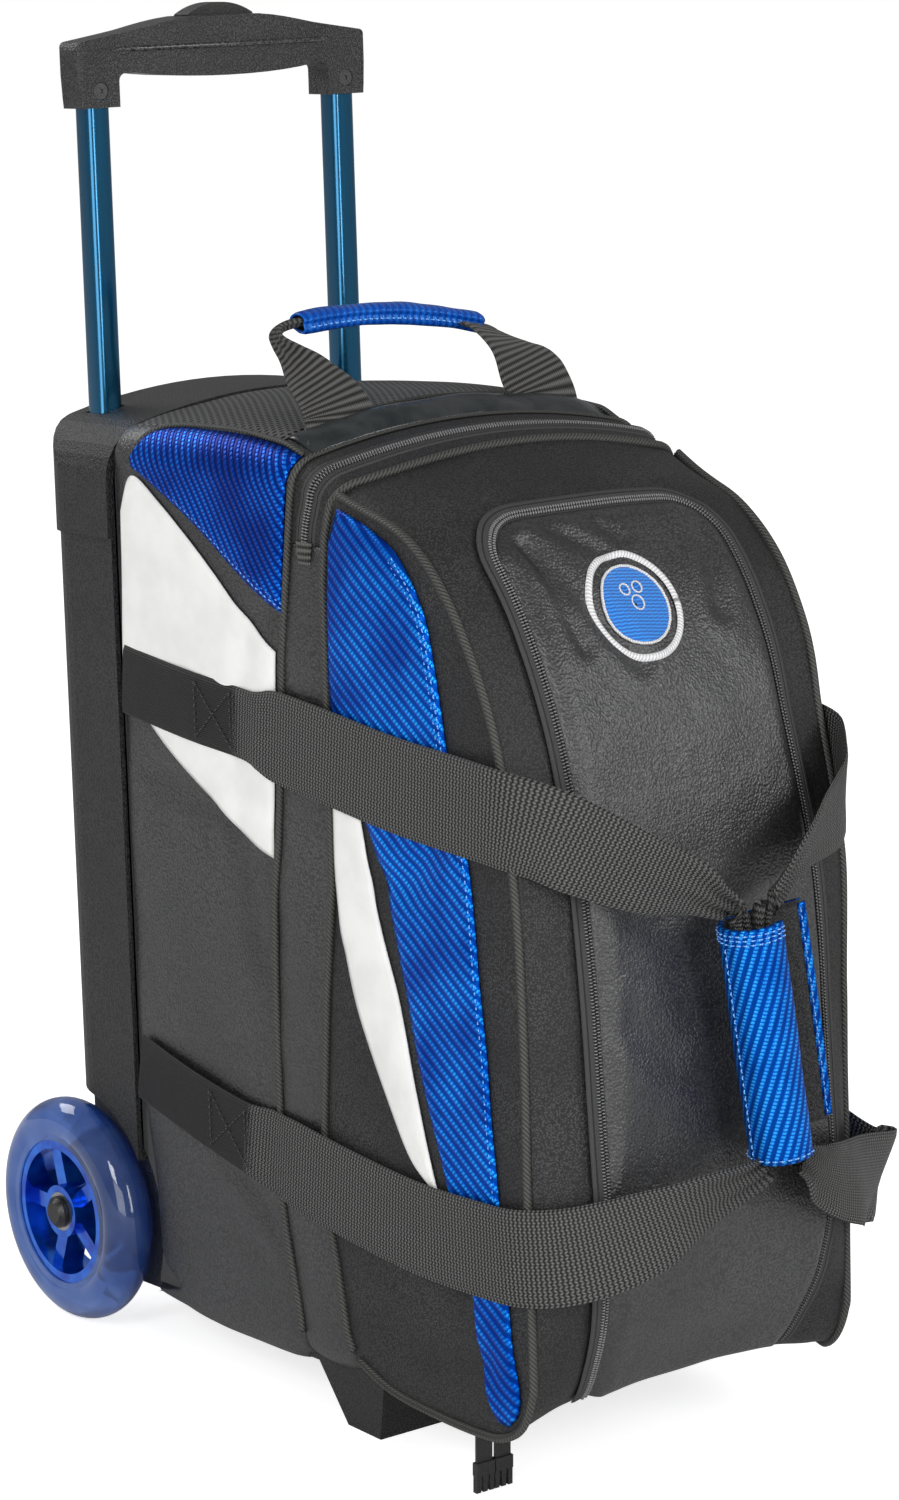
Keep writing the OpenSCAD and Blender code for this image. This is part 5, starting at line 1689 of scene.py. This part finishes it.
# Pull-out tubes: how far back they stand, half their width, their ends and their wall
TUBE_Y, TUBE_HALF, TUBE_LOW, TUBE_HIGH, TUBE_WALL = 190.0, 7.75, 238.0, 699.4, 1.2

# Trolley grip: half a leg's width, its depth at the legs, what it gains in the middle, its seam's height
GRIP_LEG, GRIP_THIN, GRIP_FULL, SEAM_Z = 12.25, 19.0, 7.0, 709.0
RIB_HALF = 72


def rounded_square(half, radius, crown=0.25, steps=7):
    """A square outline with round corners and slightly full sides."""
    points = []
    for quarter in range(4):
        middle = (half - radius) * np.array([[1, 1], [-1, 1], [-1, -1], [1, -1]])[quarter]
        start = quarter * math.pi / 2
        turn = np.linspace(0, math.pi / 2, steps) + start
        points += [middle + radius * np.array([math.cos(a), math.sin(a)]) for a in turn]
        face = start + math.pi / 2
        points.append((half + crown) * np.array([math.cos(face), math.sin(face)]))
    return np.array(points)


def pull_tube(hand, side):
    """The visible tube of the trolley on one side."""
    outline = rounded_square(TUBE_HALF, 4.6)
    heights = (TUBE_LOW, TUBE_LOW + 0.5, *np.linspace(TUBE_LOW + 2, TUBE_HIGH - 2, 12), TUBE_HIGH - 0.5,
               TUBE_HIGH)
    rows = [np.column_stack([outline + [hand * TUBE_X, TUBE_Y], np.full(len(outline), z)])
            for z in heights]
    piece = sheet_of(f"pull_tube_{side}", rows, blue_metal, closed=True)
    thicken(piece, TUBE_WALL)
    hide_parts(f"inner_tube_{side}")
    return on(piece, "trolley")


for hand, side in SIDES.items():
    pull_tube(hand, side)


def grip_rib():
    """The raised glossy rib along the front of the trolley grip."""
    x = np.linspace(-RIB_HALF, RIB_HALF, 90)
    inner = TUBE_X - GRIP_LEG
    y = TUBE_Y - (GRIP_THIN + GRIP_FULL * np.cos(np.clip(x / inner, -1, 1) * math.pi / 2)) / 2
    high = 0.9 * ease(RIB_HALF - np.abs(x), 0, 16) - 0.3
    line = np.column_stack([x, y + 0.5 - high, np.full(len(x), SEAM_Z)])
    on(tube("grip_rib", line, 1.5, rib_plastic), "trolley")


grip_rib()


# Top behind the zip
def on_top(x, y, lift):
    """Points on the arched top, x across and y from front to back."""
    drop = np.interp(x, ARCH[:, 0], ARCH[:, 1])
    way = np.stack([np.interp(x, ARCH[:, 0], ARCH_WAY[:, k]) for k in (0, 1)], -1)
    share = np.clip((y - REAR_TOP[0]) / (REAR_Y - REAR_TOP[0]), 0, 1)
    z = REAR_TOP[1] + (REAR_HIGH - REAR_TOP[1]) * share - drop
    high = top_rise(share) * way[..., 1] + lift
    points = np.stack([x, y, z], -1)
    points[..., 0] += way[..., 0] * high
    points[..., 2] += way[..., 1] * high
    shake = ripple(points.reshape(-1, 3), *REAR_RIPPLE).reshape(x.shape)
    points[..., 0] += way[..., 0] * shake
    points[..., 2] += way[..., 1] * shake
    return points


def top_sheet(name, x_half, y_low, y_high, lift, maker, node, columns=80, rows=40, bulge=0.0):
    """A sheet sewn on the top, padded up in its middle by bulge."""
    x, y = np.meshgrid(np.linspace(-x_half, x_half, columns), np.linspace(y_low, y_high, rows))
    rim = ease(np.minimum(np.minimum(y - y_low, y_high - y), (x_half - np.abs(x)) / 2), -0.5, 4)
    along = np.clip((y - y_low) / (y_high - y_low), 0, 1)
    middle = np.sin(along * math.pi) * ease(x_half - np.abs(x), 0, 14)
    points = on_top(x, y, lift * rim + bulge * middle * (0.7 + 0.3 * np.sin(x / 9)))
    piece = sheet_of(name, points, maker, np.stack([x, y], -1))
    thicken(piece, 1.0)
    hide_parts(node)
    return on(piece, "bag")


top_sheet("top_mesh", 103, -3, 132, 1.3, mesh_cloth, "mesh_panel")
top_sheet("handle_leather", 99, -25, -4.5, 1.2, patch_leather, "handle_patch", 90, 16, 2.6)


def top_cords():
    """The piping in front of the handle's patch and along both shoulders."""
    x = np.linspace(-98, 98, 120)
    far = np.abs(x)
    line = on_top(x, -4.0 - 14 * ease(far, 86, 98), 1.6 - 1.6 * ease(far, 84, 98))
    on(tube("handle_cord", line, 0.9, piping_cloth), "bag")
    edge = smooth_line(BLUE_REAR[0], 120)
    for hand, side in SIDES.items():
        line = rear_side(hand, edge[:, 0], edge[:, 1] + 1.5, np.full(120, 1.2))
        on(tube(f"shoulder_piping_{side}", line, 1.5, piping_cloth), "bag")


top_cords()

# Finishes of the pieces that keep their built shape
NODE_FINISH = {
    foam: ("side_pads", "lower_ball_cup", "separator"),
    frame_lining: ("divider_panel", "rear_panel"),
    board: ("base_board",),
    tray_plastic: ("back_tray", "top_cap", "axle_block_left", "axle_block_right", "foot"),
    cap_plastic: ("axle_caps", "axle_sleeves", "tube_plugs", "buckle_tails"),
    grip_finish: ("grip_lower", "grip_upper"),
    button_plastic: ("release_button",),
    bare_metal: ("guide_tube_left", "guide_tube_right", "push_rods"),
    steel: ("axle", "bearings_left", "bearings_right", "zip_sliders", "foot_screws"),
    dark_screw: ("grip_screws",),
    clear_tyre: ("tyre_left", "tyre_right"),
    hub_blue: ("hub_left", "hub_right"),
}
for maker, names in NODE_FINISH.items():
    for name in names:
        for material_slot in bpy.data.objects[name].material_slots:
            material_slot.material = maker().material


# Camera: its place and its three directions in the upright bag, and its lens
EYE = (-1435.57, -1839.12, 771.91)
RIGHT = np.array([0.78416, -0.61986, -0.02962])
UPWARD = np.array([0.13694, 0.12629, 0.9825])
AHEAD = np.array([0.60527, 0.77449, -0.18392])
LENS = 106.26


def look():
    """The camera."""
    camera = bpy.data.objects.new("camera", bpy.data.cameras.new("camera"))
    bpy.context.scene.collection.objects.link(camera)
    camera.data.lens = LENS
    camera.data.sensor_width = 36
    camera.data.clip_end = 50
    turn = Matrix((LEAN @ np.column_stack([RIGHT, UPWARD, -AHEAD])).tolist())
    camera.matrix_world = Matrix.Translation(place(EYE)) @ turn.to_4x4()
    bpy.context.scene.camera = camera


def lamp(name, where, size, power, target=(0, 0, 0.35)):
    """A soft lamp that points at a target; places are in metres."""
    light = bpy.data.lights.new(name, "AREA")
    light.shape = "RECTANGLE"
    light.size, light.size_y = size
    light.energy = power
    holder = bpy.data.objects.new(name, light)
    bpy.context.scene.collection.objects.link(holder)
    holder.location = where
    holder.rotation_euler = (Vector(target) - Vector(where)).to_track_quat("-Z", "Y").to_euler()


def floor():
    """A pale floor that keeps the shadow and looks as white as the sky."""
    f = Finish("pale_floor", None)
    grain = f.noise(f.rest(True), 30, 3)
    f.set(Base_Color=f.mix(grain, (0.80, 0.80, 0.80), (0.82, 0.82, 0.82)), Roughness=0.8)
    rays = f.node("LightPath")
    seen = rays.pick("Is Camera Ray").peak(rays.pick("Is Transmission Ray"))
    glow = f.node("Emission", Color=(1, 1, 1, 1), Strength=seen * 0.72)
    both = add_node(f.tree, "AddShader", None, {0: Wire(f.tree, f.shader.outputs[0]), 1: glow})
    feed(f.tree.nodes["Material Output"].inputs["Surface"], both)
    mesh = bpy.data.meshes.new("floor")
    mesh.from_pydata([(-6, -6, 0), (6, -6, 0), (6, 6, 0), (-6, 6, 0)], [], [(0, 1, 2, 3)])
    mesh.materials.append(f.material)
    ground = bpy.data.objects.new("floor", mesh)
    bpy.context.scene.collection.objects.link(ground)


def sky():
    """White where it is seen, soft light elsewhere."""
    world = bpy.data.worlds.new("studio")
    bpy.context.scene.world = world
    world.use_nodes = True
    rays = add_node(world.node_tree, "LightPath")
    seen = rays.pick("Is Camera Ray").peak(rays.pick("Is Transmission Ray"))
    light = rays.pick("Is Glossy Ray") * -0.12 + 0.42
    back = world.node_tree.nodes["Background"]
    feed(back.inputs["Color"], (1, 1, 1, 1))
    feed(back.inputs["Strength"], light.peak(seen))


look()
sky()
floor()
lamp("key", (-2.9, -1.5, 2.3), (1.0, 1.2), 40)
lamp("fill", (1.7, -2.9, 1.9), (1.0, 1.0), 34)
lamp("softbox", (-2.0, -1.4, 0.62), (1.4, 1.1), 16, (0, 0, 0.5))
lamp("front_box", (-0.25, -2.5, 0.95), (0.5, 1.3), 16, (0, -0.1, 0.35))
lamp("rim", (-0.6, 2.6, 2.2), (1.6, 1.0), 26)
bpy.context.scene.view_settings.view_transform = "Standard"
